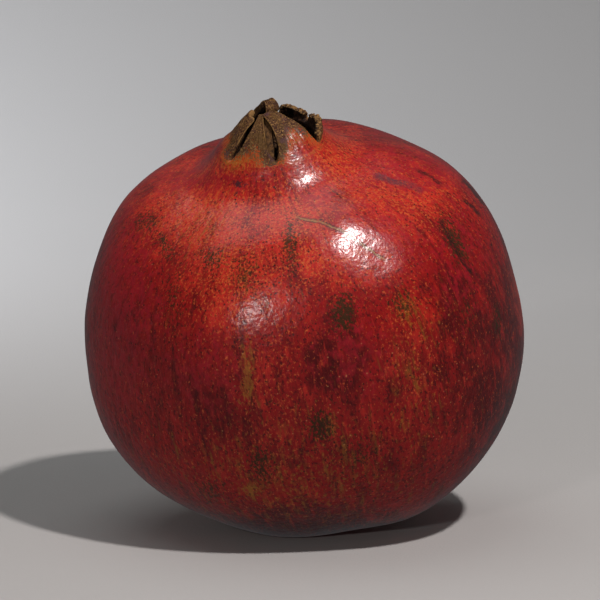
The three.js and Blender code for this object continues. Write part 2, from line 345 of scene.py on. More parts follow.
@dataclass(frozen=True)
class FruitForm:
    """The outline of the upright fruit, its ridges and bulges, how its crown is turned and how it leans."""

    belly_radius: float = 47.6
    stalk_half: OvalHalf = OvalHalf(46.2, 2.04)
    crown_half: OvalHalf = OvalHalf(43.0, 2.49)
    ridge_count: int = 6
    ridge_rise: float = 0.45
    ridge_at: float = 34.5
    bulges: tuple[Bulge, ...] = (
        Bulge(4.1, 0, 3.2, 40),
        Bulge(7.9, 0, 3.9, 40),
        Bulge(10.3, 0, 2.3, 15),
        Bulge(0.1, -54, 2.0, 14),
        Bulge(5.3, 34, 3.0, 34),
    )
    lean_forward: float = 20.3
    lean_left: float = 10.4
    flat_spot_depth: float = 1.6
    flat_spot_softness: float = 0.22
    dimple_radius: float = 9.0
    dimple_depth: float = 1.6
    stump_radius: float = 2.6
    stump_rise: float = 1.9
    neck_foot_radius: float = 21.0
    rim_height: float = 47.8
    rim_radius: float = 11.9
    rim_thickness: float = 1.9
    cup_depth: float = 6.0
    cup_floor_radius: float = 7.8
    crown_turn: float = 4.5
    pole_radius: float = 0.4

    def reach_at(self, half: OvalHalf, radius: float) -> float:
        """How far from the middle the plain body reaches, at a distance from the core."""
        return half.reach * (1 - (radius / self.belly_radius) ** half.fullness) ** (1 / half.fullness)

    def stalk_rings(self) -> list[tuple[float, float]]:
        """The rings of the stump and its dimple.

        Returns:
            Each as (radius, height), from the pole outwards.
        """
        floor = -self.stalk_half.reach + self.dimple_depth
        end = floor - self.stump_rise
        edge = -self.reach_at(self.stalk_half, self.dimple_radius)
        stump = self.stump_radius
        rings = [(self.pole_radius, end + 0.25), (1.3, end + 0.2), (2.0, end), (2.4, end + 0.1)]
        rings += [(stump, end + 0.5), (stump + 0.05, floor - 0.5), (stump + 0.3, floor)]
        brim = self.dimple_radius
        corners = [rings[-1], (stump + 2, floor), (brim - 3, edge + 0.1), (brim, edge)]
        return rings + bezier(corners, 6)

    def body_rings(self, steps: int) -> list[tuple[float, float]]:
        """The rings of the body.

        Args:
            steps: how many rings.

        Returns:
            Each as (radius, height), from the dimple's edge to the foot of the neck.
        """
        start = -math.acos((self.dimple_radius / self.belly_radius) ** (self.stalk_half.fullness / 2))
        end = math.acos((self.neck_foot_radius / self.belly_radius) ** (self.crown_half.fullness / 2))
        rings = []
        for i in range(1, steps + 1):
            angle = start + (end - start) * i / steps
            half = self.stalk_half if angle < 0 else self.crown_half
            radius = self.belly_radius * math.cos(angle) ** (2 / half.fullness)
            rings.append((radius, math.copysign(self.reach_at(half, radius), angle)))
        return rings

    def neck_rings(self, steps: int) -> list[tuple[float, float]]:
        """The rings of the neck.

        Args:
            steps: how many rings.

        Returns:
            Each as (radius, height), up to the rim where the slits between the sepals end.
        """
        foot = self.neck_foot_radius
        height = self.reach_at(self.crown_half, foot)
        slope = self.reach_at(self.crown_half, foot - 0.5) - self.reach_at(self.crown_half, foot + 0.5)
        corners = [
            (foot, height),
            (foot - 5, height + 5 * slope),
            (self.rim_radius + 1.8, self.rim_height - 1.9),
            (self.rim_radius, self.rim_height),
        ]
        return bezier(corners, steps)

    def rim_rings(self, steps: int) -> list[tuple[float, float]]:
        """Rings across the top of the rim, as (radius, height)."""
        return [
            (self.rim_radius - self.rim_thickness * i / steps, self.rim_height) for i in range(1, steps + 1)
        ]

    def cup_rings(self, steps: int) -> list[tuple[float, float]]:
        """The rings down the wall of the cup and in to the pole of its floor.

        Args:
            steps: how many rings the wall has.

        Returns:
            Each as (radius, height).
        """
        wall = self.rim_radius - self.rim_thickness
        floor = self.rim_height - self.cup_depth
        corners = [
            (wall, self.rim_height),
            (wall, self.rim_height - self.cup_depth / 2),
            (self.cup_floor_radius + 1.5, floor),
            (self.cup_floor_radius, floor),
        ]
        return bezier(corners, steps) + [(5.0, floor), (2.5, floor + 0.1), (self.pole_radius, floor + 0.2)]

    def lean(self) -> Matrix:
        """How the resting fruit leans, as a turn of the upright one."""
        return Euler((math.radians(self.lean_forward), -math.radians(self.lean_left), 0), "XYZ").to_matrix()

    def swell(self, points: np.ndarray) -> np.ndarray:
        """Swells the round body into this fruit's ridges and bulges.

        Args:
            points: rows of x, y and z of the upright fruit.

        Returns:
            The moved points. The stalk and the crown stay round.
        """
        away_from_middle = points / np.linalg.norm(points, axis=1, keepdims=True)
        around = np.arctan2(points[:, 0], -points[:, 1])
        fade = smooth_step(np.hypot(away_from_middle[:, 0], away_from_middle[:, 1]), 0.3, 0.6)
        rise = self.ridge_rise * np.cos(self.ridge_count * (around - math.radians(self.ridge_at)))
        upright = self.lean().inverted()
        for bulge in self.bulges:
            face_angle = math.radians(90 - bulge.hour * 30)
            in_face = math.cos(math.radians(bulge.back))
            facing = Vector(
                (
                    in_face * math.cos(face_angle),
                    math.sin(math.radians(bulge.back)),
                    in_face * math.sin(face_angle),
                )
            )
            towards = np.array(upright @ facing)
            away = np.arccos(np.clip(away_from_middle @ towards, -1, 1)) / math.radians(bulge.spread)
            rise = rise + bulge.rise * np.exp(-(away**2))
        return points + away_from_middle * (rise * fade)[:, None]


@dataclass(frozen=True)
class Sepal:
    """One sepal of the crown.

    Its middle line starts at the rim and runs through places given as (inwards, up) from there. Shift moves
    the tip sideways and sway the middle, belly widens it halfway, tip_bend is the radius it is arched to,
    top is how much of its length is left at places across it, ragged is how uneven that edge is, and knob
    is how far the tip is swollen. Dry_from is the share of its length where the fresh skin ends, and
    dry_sides brings that lower along its left and right edge.
    """

    around: float
    starts: float
    ends: float
    middle: tuple[tuple[float, float], ...]
    foot_width: float
    tip_width: float
    tip_bend: float
    shift: float = 0.0
    sway: float = 0.0
    belly: float = 0.0
    top: tuple[tuple[float, float], ...] = ((-1, 1), (1, 1))
    ragged: float = 0.0
    knob: float = 0.0
    dry_from: float = 0.0
    dry_sides: tuple[float, float] = (0.15, 0.15)
    foot_thickness: float = 1.7
    tip_thickness: float = 1.3
    narrowing: float = 0.8
    lip: float = 0.22
    knob_at: float = 0.93
    knob_spread: float = 0.1

    def middle_line(self, share: np.ndarray) -> tuple[np.ndarray, np.ndarray, np.ndarray, np.ndarray]:
        """The middle line at shares of its length.

        Args:
            share: numbers from 0 at the rim to 1 at the tip.

        Returns:
            How far inwards and up the line is there, and its direction inwards and up.
        """
        points = [np.array(place, dtype=float) for place in self.middle]
        samples = []
        for i in range(len(points) - 1):
            before, start, end = points[max(i - 1, 0)], points[i], points[i + 1]
            after = points[min(i + 2, len(points) - 1)]
            leave, arrive = (end - before) / 2, (after - start) / 2
            for t in np.linspace(0, 1, 33)[(1 if i else 0) :]:
                cubic = (2 * start - 2 * end + leave + arrive) * t**3
                square = (-3 * start + 3 * end - 2 * leave - arrive) * t**2
                samples.append(cubic + square + leave * t + start)
        line = np.array(samples)
        lengths = np.concatenate([[0], np.cumsum(np.linalg.norm(np.diff(line, axis=0), axis=1))])
        directions = np.gradient(line, lengths, axis=0)
        directions /= np.linalg.norm(directions, axis=1, keepdims=True)
        at = share * lengths[-1]
        columns = [line[:, 0], line[:, 1], directions[:, 0], directions[:, 1]]
        return tuple(np.interp(at, lengths, column) for column in columns)

    def broken_edge(self, across: np.ndarray) -> np.ndarray:
        """How much of the sepal's length is left.

        Args:
            across: places across it, from -1 to 1.

        Returns:
            A share of its length for each place.
        """
        teeth = np.sin(across * 4.1 + self.around) * 0.6 + np.sin(across * 9.7 + 2 * self.around) * 0.4
        left = np.interp(across, [place[0] for place in self.top], [place[1] for place in self.top])
        return left - self.ragged * (0.5 - 0.5 * teeth)

    def place(
        self,
        form: FruitForm,
        across: np.ndarray,
        inwards: np.ndarray,
        along: np.ndarray | float,
    ) -> np.ndarray:
        """Where points of the sepal are.

        Args:
            form: the fruit that it grows on.
            across: places across it, from -1 to 1.
            inwards: shares of its thickness, from 0 outside to 1 inside.
            along: the share of its length, from 0 at the rim to 1 at the tip.

        Returns:
            Rows of x, y and z of the upright fruit.
        """
        share = along * self.broken_edge(across)
        inward, up, inward_direction, up_direction = self.middle_line(share)
        swelling = self.knob * np.exp(-(((share - self.knob_at) / self.knob_spread) ** 2))
        thickness = self.foot_thickness + (self.tip_thickness - self.foot_thickness) * share
        depth = inwards * (thickness + swelling) - swelling * 0.5
        narrowed = share**self.narrowing
        half_width = (self.foot_width + (self.tip_width - self.foot_width) * narrowed) / 2 + swelling * 0.5
        halfway = 4 * share * (1 - share)
        half_width = half_width + self.belly * halfway
        bend = form.rim_radius + (self.tip_bend - form.rim_radius) * share
        sideways = across * half_width * (1 - depth / bend)
        sag = bend - np.sqrt(np.maximum(bend**2 - sideways**2, 0))
        edge = smooth_step(np.abs(across), 0.72, 1.0) * smooth_step(share, 0.05, 0.3)
        sag = sag - self.lip * edge
        bend_turn = np.arctan2(inward_direction, up_direction) * share
        radius = form.rim_radius - inward - depth * up_direction - sag * np.cos(bend_turn)
        height = form.rim_height + up - depth * inward_direction - sag * np.sin(bend_turn)
        sideways = sideways + self.shift * share**2 + self.sway * halfway
        x, y = turned(sideways, -radius, math.radians(self.around + form.crown_turn))
        return np.column_stack([x, y, height])


# Marks on the skin


class MarkKind(Enum):
    """What a soft patch on the skin looks like. Each is an attribute of the skin."""

    OLIVE = "olive"  # dark olive-brown specks close together
    GOLD = "gold"  # unripe yellow showing through
    BRUISE = "bruise"  # purple-brown
    BLUSH = "blush"  # brighter orange-red
    # The darker crimson below also stands for painted shade: a band below the neck, and the bottom where the
    # fruit rests.
    DEEP_AND_SHADE = "deep_and_shade"  # darker crimson
    # The pinkish crimson below is partly a painted sheen, along the rims and round the main highlight.
    PINK_AND_SHEEN = "pink_and_sheen"  # a cooler, pinkish crimson
    PEPPER = "pepper"  # many dark dots
    SALT = "salt"  # many pale specks


class LineKind(Enum):
    """What a thin line on the skin looks like. Each is an attribute of the skin."""

    SCAR = "scar"  # a healed scratch, tan between dark edges
    NICK = "nick"  # a dark broken cut
    SCUFF = "scuff"  # a purple-grey rub


@dataclass(frozen=True)
class Patch:
    """A soft oval patch seen from in front: its middle right of and above the fruit's, and half sizes."""

    kind: MarkKind
    right: float
    up: float
    half_width: float
    half_height: float
    strength: float = 1.0
    turn: float = 0.0


@dataclass(frozen=True)
class Line:
    """A thin line, as seen from in front, through places right of and above the fruit's middle."""

    kind: LineKind
    places: tuple[tuple[float, float], ...]
    strength: float = 1.0


PATCHES = (
    # olive-brown spots
    Patch(MarkKind.OLIVE, 8.5, 2.7, 2.6, 4.6, 0.9),
    Patch(MarkKind.OLIVE, 22.0, 5.0, 2.6, 3.2, 0.55),
    Patch(MarkKind.OLIVE, -21.2, 15.4, 3.6, 3.0, 0.55),
    Patch(MarkKind.OLIVE, -36.3, 23.6, 3.4, 2.6, 0.55),
    Patch(MarkKind.OLIVE, -32.2, 18.2, 1.6, 4.0, 0.6, 25),
    Patch(MarkKind.OLIVE, -3.6, 19.0, 1.8, 6.0, 0.7),
    Patch(MarkKind.OLIVE, 3.4, -23.2, 3.4, 4.0, 0.75),
    Patch(MarkKind.OLIVE, -10.4, -31.6, 3.0, 4.2, 0.7),
    Patch(MarkKind.OLIVE, 33.8, 19.4, 2.0, 7.0, 0.7, 25),
    Patch(MarkKind.OLIVE, -14.0, 12.0, 4.6, 5.6, 0.4),
    Patch(MarkKind.OLIVE, 43.6, 1.0, 1.2, 4.4, 0.6),
    Patch(MarkKind.OLIVE, -22.0, -38.0, 4.0, 3.0, 0.5),
    Patch(MarkKind.OLIVE, 12.0, -30.0, 5.0, 6.0, 0.35),
    Patch(MarkKind.OLIVE, -30.0, 6.0, 3.0, 9.0, 0.35),
    Patch(MarkKind.OLIVE, 37.0, 2.4, 2.0, 5.4, 0.4),
    # yellow showing through
    Patch(MarkKind.GOLD, 5.3, -23.0, 2.0, 3.2, 0.7),
    Patch(MarkKind.GOLD, -12.6, -37.6, 2.6, 2.4, 0.8),
    Patch(MarkKind.GOLD, -13.4, -11.4, 1.8, 10.0, 0.7),
    Patch(MarkKind.GOLD, 22.8, 4.4, 3.4, 5.0, 0.5),
    Patch(MarkKind.GOLD, 27.0, 0.0, 7.0, 9.0, 0.3),
    Patch(MarkKind.GOLD, -16.0, 14.0, 9.0, 9.0, 0.3),
    Patch(MarkKind.GOLD, -16.6, 37.6, 3.6, 2.4, 0.7),
    Patch(MarkKind.GOLD, -4.0, -34.0, 32.0, 14.0, 0.4),
    Patch(MarkKind.GOLD, 24.0, -18.0, 7.0, 20.0, 0.34),
    Patch(MarkKind.GOLD, -24.0, 22.0, 9.0, 8.0, 0.3),
    # bruise left of the crown's foot, and two dark dots
    Patch(MarkKind.BRUISE, -15.4, 32.2, 2.4, 1.2, 0.9),
    Patch(MarkKind.BRUISE, -7.3, 31.4, 0.7, 0.5, 1.0),
    Patch(MarkKind.BRUISE, -16.0, 29.8, 0.6, 0.6, 0.9),
    Patch(MarkKind.BRUISE, -3.0, 36.0, 2.4, 2.6, 0.5),
    # brighter zones
    Patch(MarkKind.BLUSH, 7.0, 37.0, 7.0, 8.0, 1.0),
    Patch(MarkKind.BLUSH, -24.0, 26.0, 14.0, 10.0, 1.0),
    Patch(MarkKind.BLUSH, 19.0, 30.0, 16.0, 9.0, 0.95),
    Patch(MarkKind.BLUSH, -2.0, 25.0, 12.0, 10.0, 0.9),
    Patch(MarkKind.BLUSH, 6.0, 18.0, 16.0, 10.0, 0.85),
    Patch(MarkKind.BLUSH, -16.0, 12.0, 12.0, 15.0, 0.75),
    Patch(MarkKind.BLUSH, -8.0, -10.0, 6.0, 26.0, 0.3),
    Patch(MarkKind.BLUSH, 24.0, -2.0, 6.0, 14.0, 0.4),
    Patch(MarkKind.BLUSH, -22.0, 35.0, 12.0, 4.0, 0.8),
    Patch(MarkKind.BLUSH, 2.0, 15.0, 8.0, 6.0, 0.9),
    # darker zones; the band below the neck and the bottom where the fruit rests are painted shade
    Patch(MarkKind.DEEP_AND_SHADE, -38.0, 2.0, 10.0, 16.0, 0.4),
    Patch(MarkKind.DEEP_AND_SHADE, 44.0, -8.0, 12.0, 26.0, 0.9),
    Patch(MarkKind.DEEP_AND_SHADE, 34.0, 0.0, 8.0, 20.0, 0.8),
    Patch(MarkKind.DEEP_AND_SHADE, 6.0, -6.0, 9.0, 13.0, 1.0),
    Patch(MarkKind.DEEP_AND_SHADE, -20.0, -18.0, 12.0, 14.0, 0.6),
    Patch(MarkKind.DEEP_AND_SHADE, 0.0, -26.0, 26.0, 12.0, 0.5),
    # painted shade at the bottom, where the fruit rests on the floor
    Patch(MarkKind.DEEP_AND_SHADE, 0.0, -47.0, 26.0, 8.0, 1.0),
    # painted shade in the hollow below the neck
    Patch(MarkKind.DEEP_AND_SHADE, -6.0, 29.0, 10.0, 3.0, 0.4),
    # cooler pinkish zones, partly the skin's own crimson and partly a painted sheen along the rims and round
    # the main highlight
    # painted sheen round the main highlight
    Patch(MarkKind.PINK_AND_SHEEN, 14.0, 20.0, 14.0, 10.0, 0.9),
    Patch(MarkKind.PINK_AND_SHEEN, 24.0, 35.0, 18.0, 8.0, 0.9),
    Patch(MarkKind.PINK_AND_SHEEN, 35.0, 16.0, 8.0, 16.0, 0.7),
    Patch(MarkKind.PINK_AND_SHEEN, -42.0, 4.0, 9.0, 26.0, 0.9),
    Patch(MarkKind.PINK_AND_SHEEN, -22.0, 33.0, 14.0, 4.0, 0.9),
    Patch(MarkKind.PINK_AND_SHEEN, 2.0, 30.0, 7.0, 4.0, 0.8),
    Patch(MarkKind.PINK_AND_SHEEN, 10.0, -4.0, 10.0, 12.0, 0.7),
    Patch(MarkKind.PINK_AND_SHEEN, -22.0, -10.0, 12.0, 10.0, 0.7),
    # clusters of dots and specks
    Patch(MarkKind.PEPPER, -9.0, 13.0, 13.0, 7.0, 1.0),
    Patch(MarkKind.PEPPER, 6.0, 13.0, 9.0, 5.0, 0.5),
    Patch(MarkKind.SALT, 28.0, -12.0, 22.0, 16.0, 1.0),
    Patch(MarkKind.SALT, -2.0, -16.0, 26.0, 16.0, 0.7),
)

LINES = (
    Line(LineKind.SCAR, ((-1.4, 24.5), (3.2, 23.6), (8.9, 21.3), (13.5, 17.9), (17.4, 15.3))),
    Line(LineKind.NICK, ((30.8, 23.6), (33.4, 18.6), (35.6, 14.8), (37.4, 12.4)), 0.9),
    Line(LineKind.NICK, ((36.4, 28.3), (38.0, 27.0), (39.4, 25.4)), 1.0),
    Line(LineKind.NICK, ((25.8, 35.2), (28.4, 34.0), (30.6, 32.4)), 0.8),
    Line(LineKind.NICK, ((36.0, 33.0), (38.4, 30.6), (40.2, 28.2)), 1.0),
    Line(LineKind.SCUFF, ((16.2, 34.2), (19.4, 33.0), (22.6, 32.4)), 1.0),
    Line(LineKind.SCUFF, ((23.4, 32.2), (26.0, 31.0)), 0.7),
)

# On the hidden sides marks grow by chance: how wide they are, and how strong at the most
HIDDEN_MARKS = {
    MarkKind.OLIVE: (7.0, 0.4),
    MarkKind.GOLD: (12.0, 0.35),
    MarkKind.BLUSH: (23.0, 0.8),
    MarkKind.DEEP_AND_SHADE: (19.0, 0.8),
    MarkKind.PINK_AND_SHEEN: (21.0, 0.8),
    MarkKind.PEPPER: (14.0, 0.8),
    MarkKind.SALT: (16.0, 0.8),
}


# The camera's place, which also says where the marks are


@dataclass(frozen=True)
class Viewpoint:
    """Where the fruit is looked at from: level with its lower half, from a little above."""

    elevation: float = 9.0
    distance: float = 750.0
    lens: float = 197.1
    sensor: float = 36.0
    right_of_frame_middle: float = 1.4
    below_frame_middle: float = 5.8

    def axes(self) -> tuple[Vector, Vector, Vector]:
        """Which way is right, up and towards the viewer.

        Returns:
            Three unit directions.
        """
        tilt = math.radians(self.elevation)
        return (
            Vector((1, 0, 0)),
            Vector((0, math.sin(tilt), math.cos(tilt))),
            Vector((0, -math.cos(tilt), math.sin(tilt))),
        )

    def eye(self, middle: Vector) -> Vector:
        """Where the eye is.

        Args:
            middle: the middle of the resting fruit's body.

        Returns:
            The eye's place.
        """
        right, up, towards = self.axes()
        sideways = right * self.right_of_frame_middle
        return middle + towards * self.distance - sideways + up * self.below_frame_middle

    def seen(self, points: np.ndarray, middle: Vector) -> tuple[np.ndarray, np.ndarray, np.ndarray]:
        """How far right of and above the fruit's middle points appear, and the way to the eye from each.

        Args:
            points: rows of x, y and z of the resting fruit.
            middle: the middle of its body.

        Returns:
            Right, up, and rows of unit directions to the eye.
        """
        right, up, towards = (np.array(axis) for axis in self.axes())
        eye = np.array(self.eye(middle))
        to_eye = eye - points
        scale = self.distance / (to_eye @ towards)
        across = -(to_eye @ right) * scale + (eye - np.array(middle)) @ right
        above = -(to_eye @ up) * scale + (eye - np.array(middle)) @ up
        return across, above, to_eye / np.linalg.norm(to_eye, axis=1, keepdims=True)


# The rind


@dataclass
class Rind:
    """The whole skin in one closed mesh: stalk stump, body, neck, six sepals and the cup between them.

    Sepals are counted from 1 at the front, towards +X. Broken_numbers are the two short broken ones, and
    hood_number is the one behind that is folded over into a hood. Middle_at is the middle of the resting
    body. The skin is even within even_radius of the core, and fully uneven from uneven_radius on.
    """

    form: FruitForm = FruitForm()
    viewpoint: Viewpoint = Viewpoint()
    columns_per_sepal: int = 24
    body_steps: int = 58
    neck_steps: int = 11
    rim_steps: int = 2
    cup_steps: int = 5
    sepal_steps: int = 18
    foot_blend: float = 0.3
    middle_at: tuple[float, float, float] = (0.27, 0.50, 46.15)
    scar_valley_depth: float = 0.32
    scar_valley_half_width: float = 3.0
    wrinkles: Unevenness = Unevenness(1.0, 0.16, 3.1)
    wrinkles_across: float = 9.0
    wrinkles_along: float = 2.2
    lumps: Unevenness = Unevenness(2.4, 0.2, 8.2)
    coarse_crumbs: Unevenness = Unevenness(1.1, 0.32, 5.5)
    fine_crumbs: Unevenness = Unevenness(0.5, 0.22, 6.5)
    wide_swells: Unevenness = Unevenness(17, 0.28, 1.3)
    small_swells: Unevenness = Unevenness(6.5, 0.09, 2.6)
    even_radius: float = 12.0
    uneven_radius: float = 24.0
    broken_numbers: tuple[int, int] = (2, 3)
    hood_number: int = 4
    sepals: tuple[Sepal, ...] = (
        Sepal(
            30, 0, 60, ((0, 0), (3.6, 4.2), (7.0, 6.4), (10.9, 7.6)), 11.4, 1.5, 4,
            shift=-0.3, sway=0.7, belly=0.5, knob=0.7, dry_from=0.45, dry_sides=(0.5, 0.2),
        ),
        Sepal(
            90, 60, 119.5, ((0, 0), (-0.2, 1.8), (-0.1, 4.0)), 11.4, 11.6, 11,
            top=((-1, 0.45), (-0.6, 0.8), (0, 0.8), (0.6, 0.64), (1, 0.5)), ragged=0.1, dry_from=0.3,
        ),
        Sepal(
            149, 119.5, 176, ((0, 0), (0.1, 1.8), (0.3, 3.8)), 10, 10.4, 11,
            top=((-1, 0.55), (-0.5, 0.75), (0, 0.92), (0.3, 0.86), (0.42, 0.3), (1, 0.2)), ragged=0.08,
            dry_from=0.3,
        ),
        Sepal(
            199, 176, 222,
            ((0, 0), (3.6, 3.9), (6.6, 6.9), (9.2, 8.5), (11.2, 7.8), (12.0, 6.0)), 8.0, 3.2, 2.2,
            shift=-2.0, sway=-1.9, belly=-1.4, ragged=0.03, knob=0.4, dry_from=0.1,
        ),
        Sepal(
            261, 222, 300, ((0, 0), (3.8, 3.4), (6.4, 6.0), (9.0, 8.0)), 14.6, 5.2, 2.7,
            shift=-0.2, sway=0.8, ragged=0.04, dry_from=0.42, dry_sides=(0.1, 0.4),
        ),
        Sepal(
            330, 300, 360, ((0, 0), (3.8, 3.8), (7.2, 6.3), (10.4, 7.6)), 11.4, 0.9, 4,
            sway=0.4, belly=-0.4, dry_from=0.26, dry_sides=(0.12, 0.42),
        ),
    )

    def build(self) -> bpy.types.Object:
        """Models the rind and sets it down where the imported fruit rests.

        Returns:
            The finished piece, dressed and riding on its body.
        """
        piece = self.turn_body()
        self.share_out_columns(piece)
        self.raise_sepals(piece)
        only(piece)
        smoother = piece.modifiers.new("smooth skin", "SUBSURF")
        smoother.levels = smoother.render_levels = 1
        bpy.ops.object.modifier_apply(modifier=smoother.name)
        bpy.ops.object.shade_smooth()
        self.roughen_crown(piece.data)
        points = self.form.swell(mesh_points(piece.data))
        set_mesh_points(piece.data, points)
        self.undulate(piece.data)
        upright = mesh_points(piece.data)
        write_attribute(piece.data, "height_up", upright[:, 2])
        write_attribute(piece.data, "from_core", np.hypot(upright[:, 0], upright[:, 1]))
        self.set_down(piece.data)
        self.sink_scar(piece.data)
        self.mark(piece.data)
        self.mark_crown(piece.data)
        return finish_piece(piece, "rind", WaxedRind().material(self.form, self.middle()))

    def turn_body(self) -> bpy.types.Object:
        """Extrudes a small circle at the stalk ring by ring up to the rim and down into the cup.

        Returns:
            The upright body, still plain and round, with the rim's flat top between its rings.
        """
        form = self.form
        rings = form.stalk_rings() + form.body_rings(self.body_steps) + form.neck_rings(self.neck_steps)
        rings += form.rim_rings(self.rim_steps) + form.cup_rings(self.cup_steps)
        columns = self.columns_per_sepal * len(self.sepals)
        return extrude_rings(columns, [(radius, 0, height) for radius, height in rings])

    def share_out_columns(self, piece: bpy.types.Object) -> None:
        """Turns the columns about the core so that each sepal gets the same number between its two slits.

        Args:
            piece: the upright body.
        """
        points = mesh_points(piece.data)
        around = np.degrees(np.arctan2(points[:, 0], -points[:, 1])) % 360
        even = np.arange(len(self.sepals) + 1) * 360 / len(self.sepals)
        slits = [sepal.starts for sepal in self.sepals] + [360]
        turn = np.radians(np.interp(around, even, slits) - around + self.form.crown_turn)
        points[:, 0], points[:, 1] = turned(points[:, 0], points[:, 1], turn)
        set_mesh_points(piece.data, points)

    def raise_sepals(self, piece: bpy.types.Object) -> None:
        """Extrudes each sepal's stretch of the rim upwards and shapes every step.

        Args:
            piece: the upright body. It gains the attributes across, inwards, along and sepal.
        """
        for name in ("across", "inwards", "along", "sepal"):
            piece.data.attributes.new(name, "FLOAT", "POINT")
        only(piece)
        bpy.ops.object.mode_set(mode="EDIT")
        bpy.ops.mesh.select_mode(type="FACE")
        for number, sepal in enumerate(self.sepals, start=1):
            feet = self.select_rim_stretch(piece.data, sepal, number)
            for step in range(1, self.sepal_steps + 1):
                bpy.ops.mesh.extrude_region_move(TRANSFORM_OT_translate={"value": (0, 0, 0)})
                self.shape_step(piece.data, sepal, feet, step / self.sepal_steps)
        bpy.ops.object.mode_set(mode="OBJECT")

    def select_rim_stretch(
        self, mesh: bpy.types.Mesh, sepal: Sepal, number: int
    ) -> dict[tuple[float, float], Vector]:
        """Selects the faces of the rim's top that one sepal grows from.

        Args:
            mesh: the mesh, in edit mode.
            sepal: the sepal.
            number: its number, counted from 1.

        Returns:
            The rim's place under each (across, inwards).
        """
        form = self.form
        shape = bmesh.from_edit_mesh(mesh)
        layers = shape.verts.layers.float
        bpy.ops.mesh.select_all(action="DESELECT")
        feet = {}
        middle = (sepal.starts + sepal.ends) / 2
        for face in shape.faces:
            centre = face.calc_center_median()
            from_core = math.hypot(centre.x, centre.y)
            on_rim = abs(centre.z - form.rim_height) < 0.01
            if not on_rim or not form.rim_radius - form.rim_thickness < from_core < form.rim_radius:
                continue
            around = math.degrees(math.atan2(centre.x, -centre.y)) - form.crown_turn
            if abs((around - middle + 180) % 360 - 180) > (sepal.ends - sepal.starts) / 2:
                continue
            face.select_set(True)
            for vertex in face.verts:
                around = math.degrees(math.atan2(vertex.co.x, -vertex.co.y)) - form.crown_turn
                away = (around - middle + 180) % 360 - 180
                across = round(2 * away / (sepal.ends - sepal.starts), 3)
                inwards = (form.rim_radius - math.hypot(vertex.co.x, vertex.co.y)) / form.rim_thickness
                vertex[layers["across"]] = across
                vertex[layers["inwards"]] = round(inwards, 2)
                vertex[layers["sepal"]] = number
                feet[across, round(inwards, 2)] = vertex.co.copy()
        bmesh.update_edit_mesh(mesh)
        return feet

    def shape_step(
        self, mesh: bpy.types.Mesh, sepal: Sepal, feet: dict[tuple[float, float], Vector], along: float
    ) -> None:
        """Moves the newly extruded top of a sepal to where it belongs.

        Args:
            mesh: the mesh, in edit mode.
            sepal: the sepal.
            feet: the rim's place under each (across, inwards).
            along: the share of the sepal's length that this step reaches.
        """
        shape = bmesh.from_edit_mesh(mesh)
        layers = shape.verts.layers.float
        top = [vertex for vertex in shape.verts if vertex.select]
        keys = [(round(v[layers["across"]], 3), round(v[layers["inwards"]], 2)) for v in top]
        across = np.array([key[0] for key in keys])
        inwards = np.array([key[1] for key in keys])
        places = sepal.place(self.form, across, inwards, along)
        plain_feet = sepal.place(self.form, across, inwards, 0.0)
        rim = np.array([feet[key] for key in keys])
        places += (rim - plain_feet) * (1 - smooth_step(np.array(along), 0, self.foot_blend))
        for vertex, place in zip(top, places):
            vertex.co = place
            vertex[layers["along"]] = along
        bmesh.update_edit_mesh(mesh)

    def roughen_crown(self, mesh: bpy.types.Mesh) -> None:
        """Gives the sepals their lengthwise wrinkles and their broken tops a crumbled edge.

        Args:
            mesh: the upright skin.
        """
        points = mesh_points(mesh)
        normals = mesh_normals(mesh)
        along = read_attribute(mesh, "along")
        on_crown = np.flatnonzero(along > 0.01)
        along = along[on_crown]
        across = read_attribute(mesh, "across")[on_crown]
        number = np.round(read_attribute(mesh, "sepal"))[on_crown]
        chosen = points[on_crown]
        # The sepal's number shifts the pattern, so that each sepal has wrinkles of its own
        grain = np.column_stack(
            [across * self.wrinkles_across + 40 * number, along * self.wrinkles_along, number * 7]
        )
        wrinkles = self.wrinkles.at(grain) * smooth_step(along, 0, 0.3)
        lumps = self.lumps.at(chosen)
        broken = np.isin(number, self.broken_numbers) * smooth_step(along, 0.55, 0.95)
        crumbs = (self.coarse_crumbs.at(chosen) + self.fine_crumbs.at(chosen)) * broken
        rise = wrinkles + lumps * smooth_step(along, 0, 0.4) + crumbs
        points[on_crown] += normals[on_crown] * rise[:, None]
        set_mesh_points(mesh, points)

    def undulate(self, mesh: bpy.types.Mesh) -> None:
        """Adds the slight unevenness of a leathery skin that has dried a little.

        Args:
            mesh: the upright skin.
        """
        points = mesh_points(mesh)
        normals = mesh_normals(mesh)
        from_core = np.hypot(points[:, 0], points[:, 1])
        fade = smooth_step(from_core, self.even_radius, self.uneven_radius)
        swells = self.wide_swells.at(points) + self.small_swells.at(points)
        set_mesh_points(mesh, points + normals * (swells * fade)[:, None])

    def set_down(self, mesh: bpy.types.Mesh) -> None:
        """Leans the fruit over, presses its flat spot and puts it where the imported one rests.

        Args:
            mesh: the upright skin, in millimetres. It is left in metres.
        """
        points = mesh_points(mesh) @ np.array(self.form.lean()).T
        low, high = (np.array(corner) / MM for corner in packed_box)
        points[:, 2] -= points[:, 2].min() + self.form.flat_spot_depth
        soft = self.form.flat_spot_softness
        points[:, 2] = soft * np.logaddexp(0, points[:, 2] / soft)
        middle = (points.min(axis=0) + points.max(axis=0)) / 2
        points[:, :2] += ((low + high) / 2 - middle)[:2]
        set_mesh_points(mesh, points * MM)

    def middle(self) -> Vector:
        """The middle of the resting fruit's body."""
        return Vector(self.middle_at)

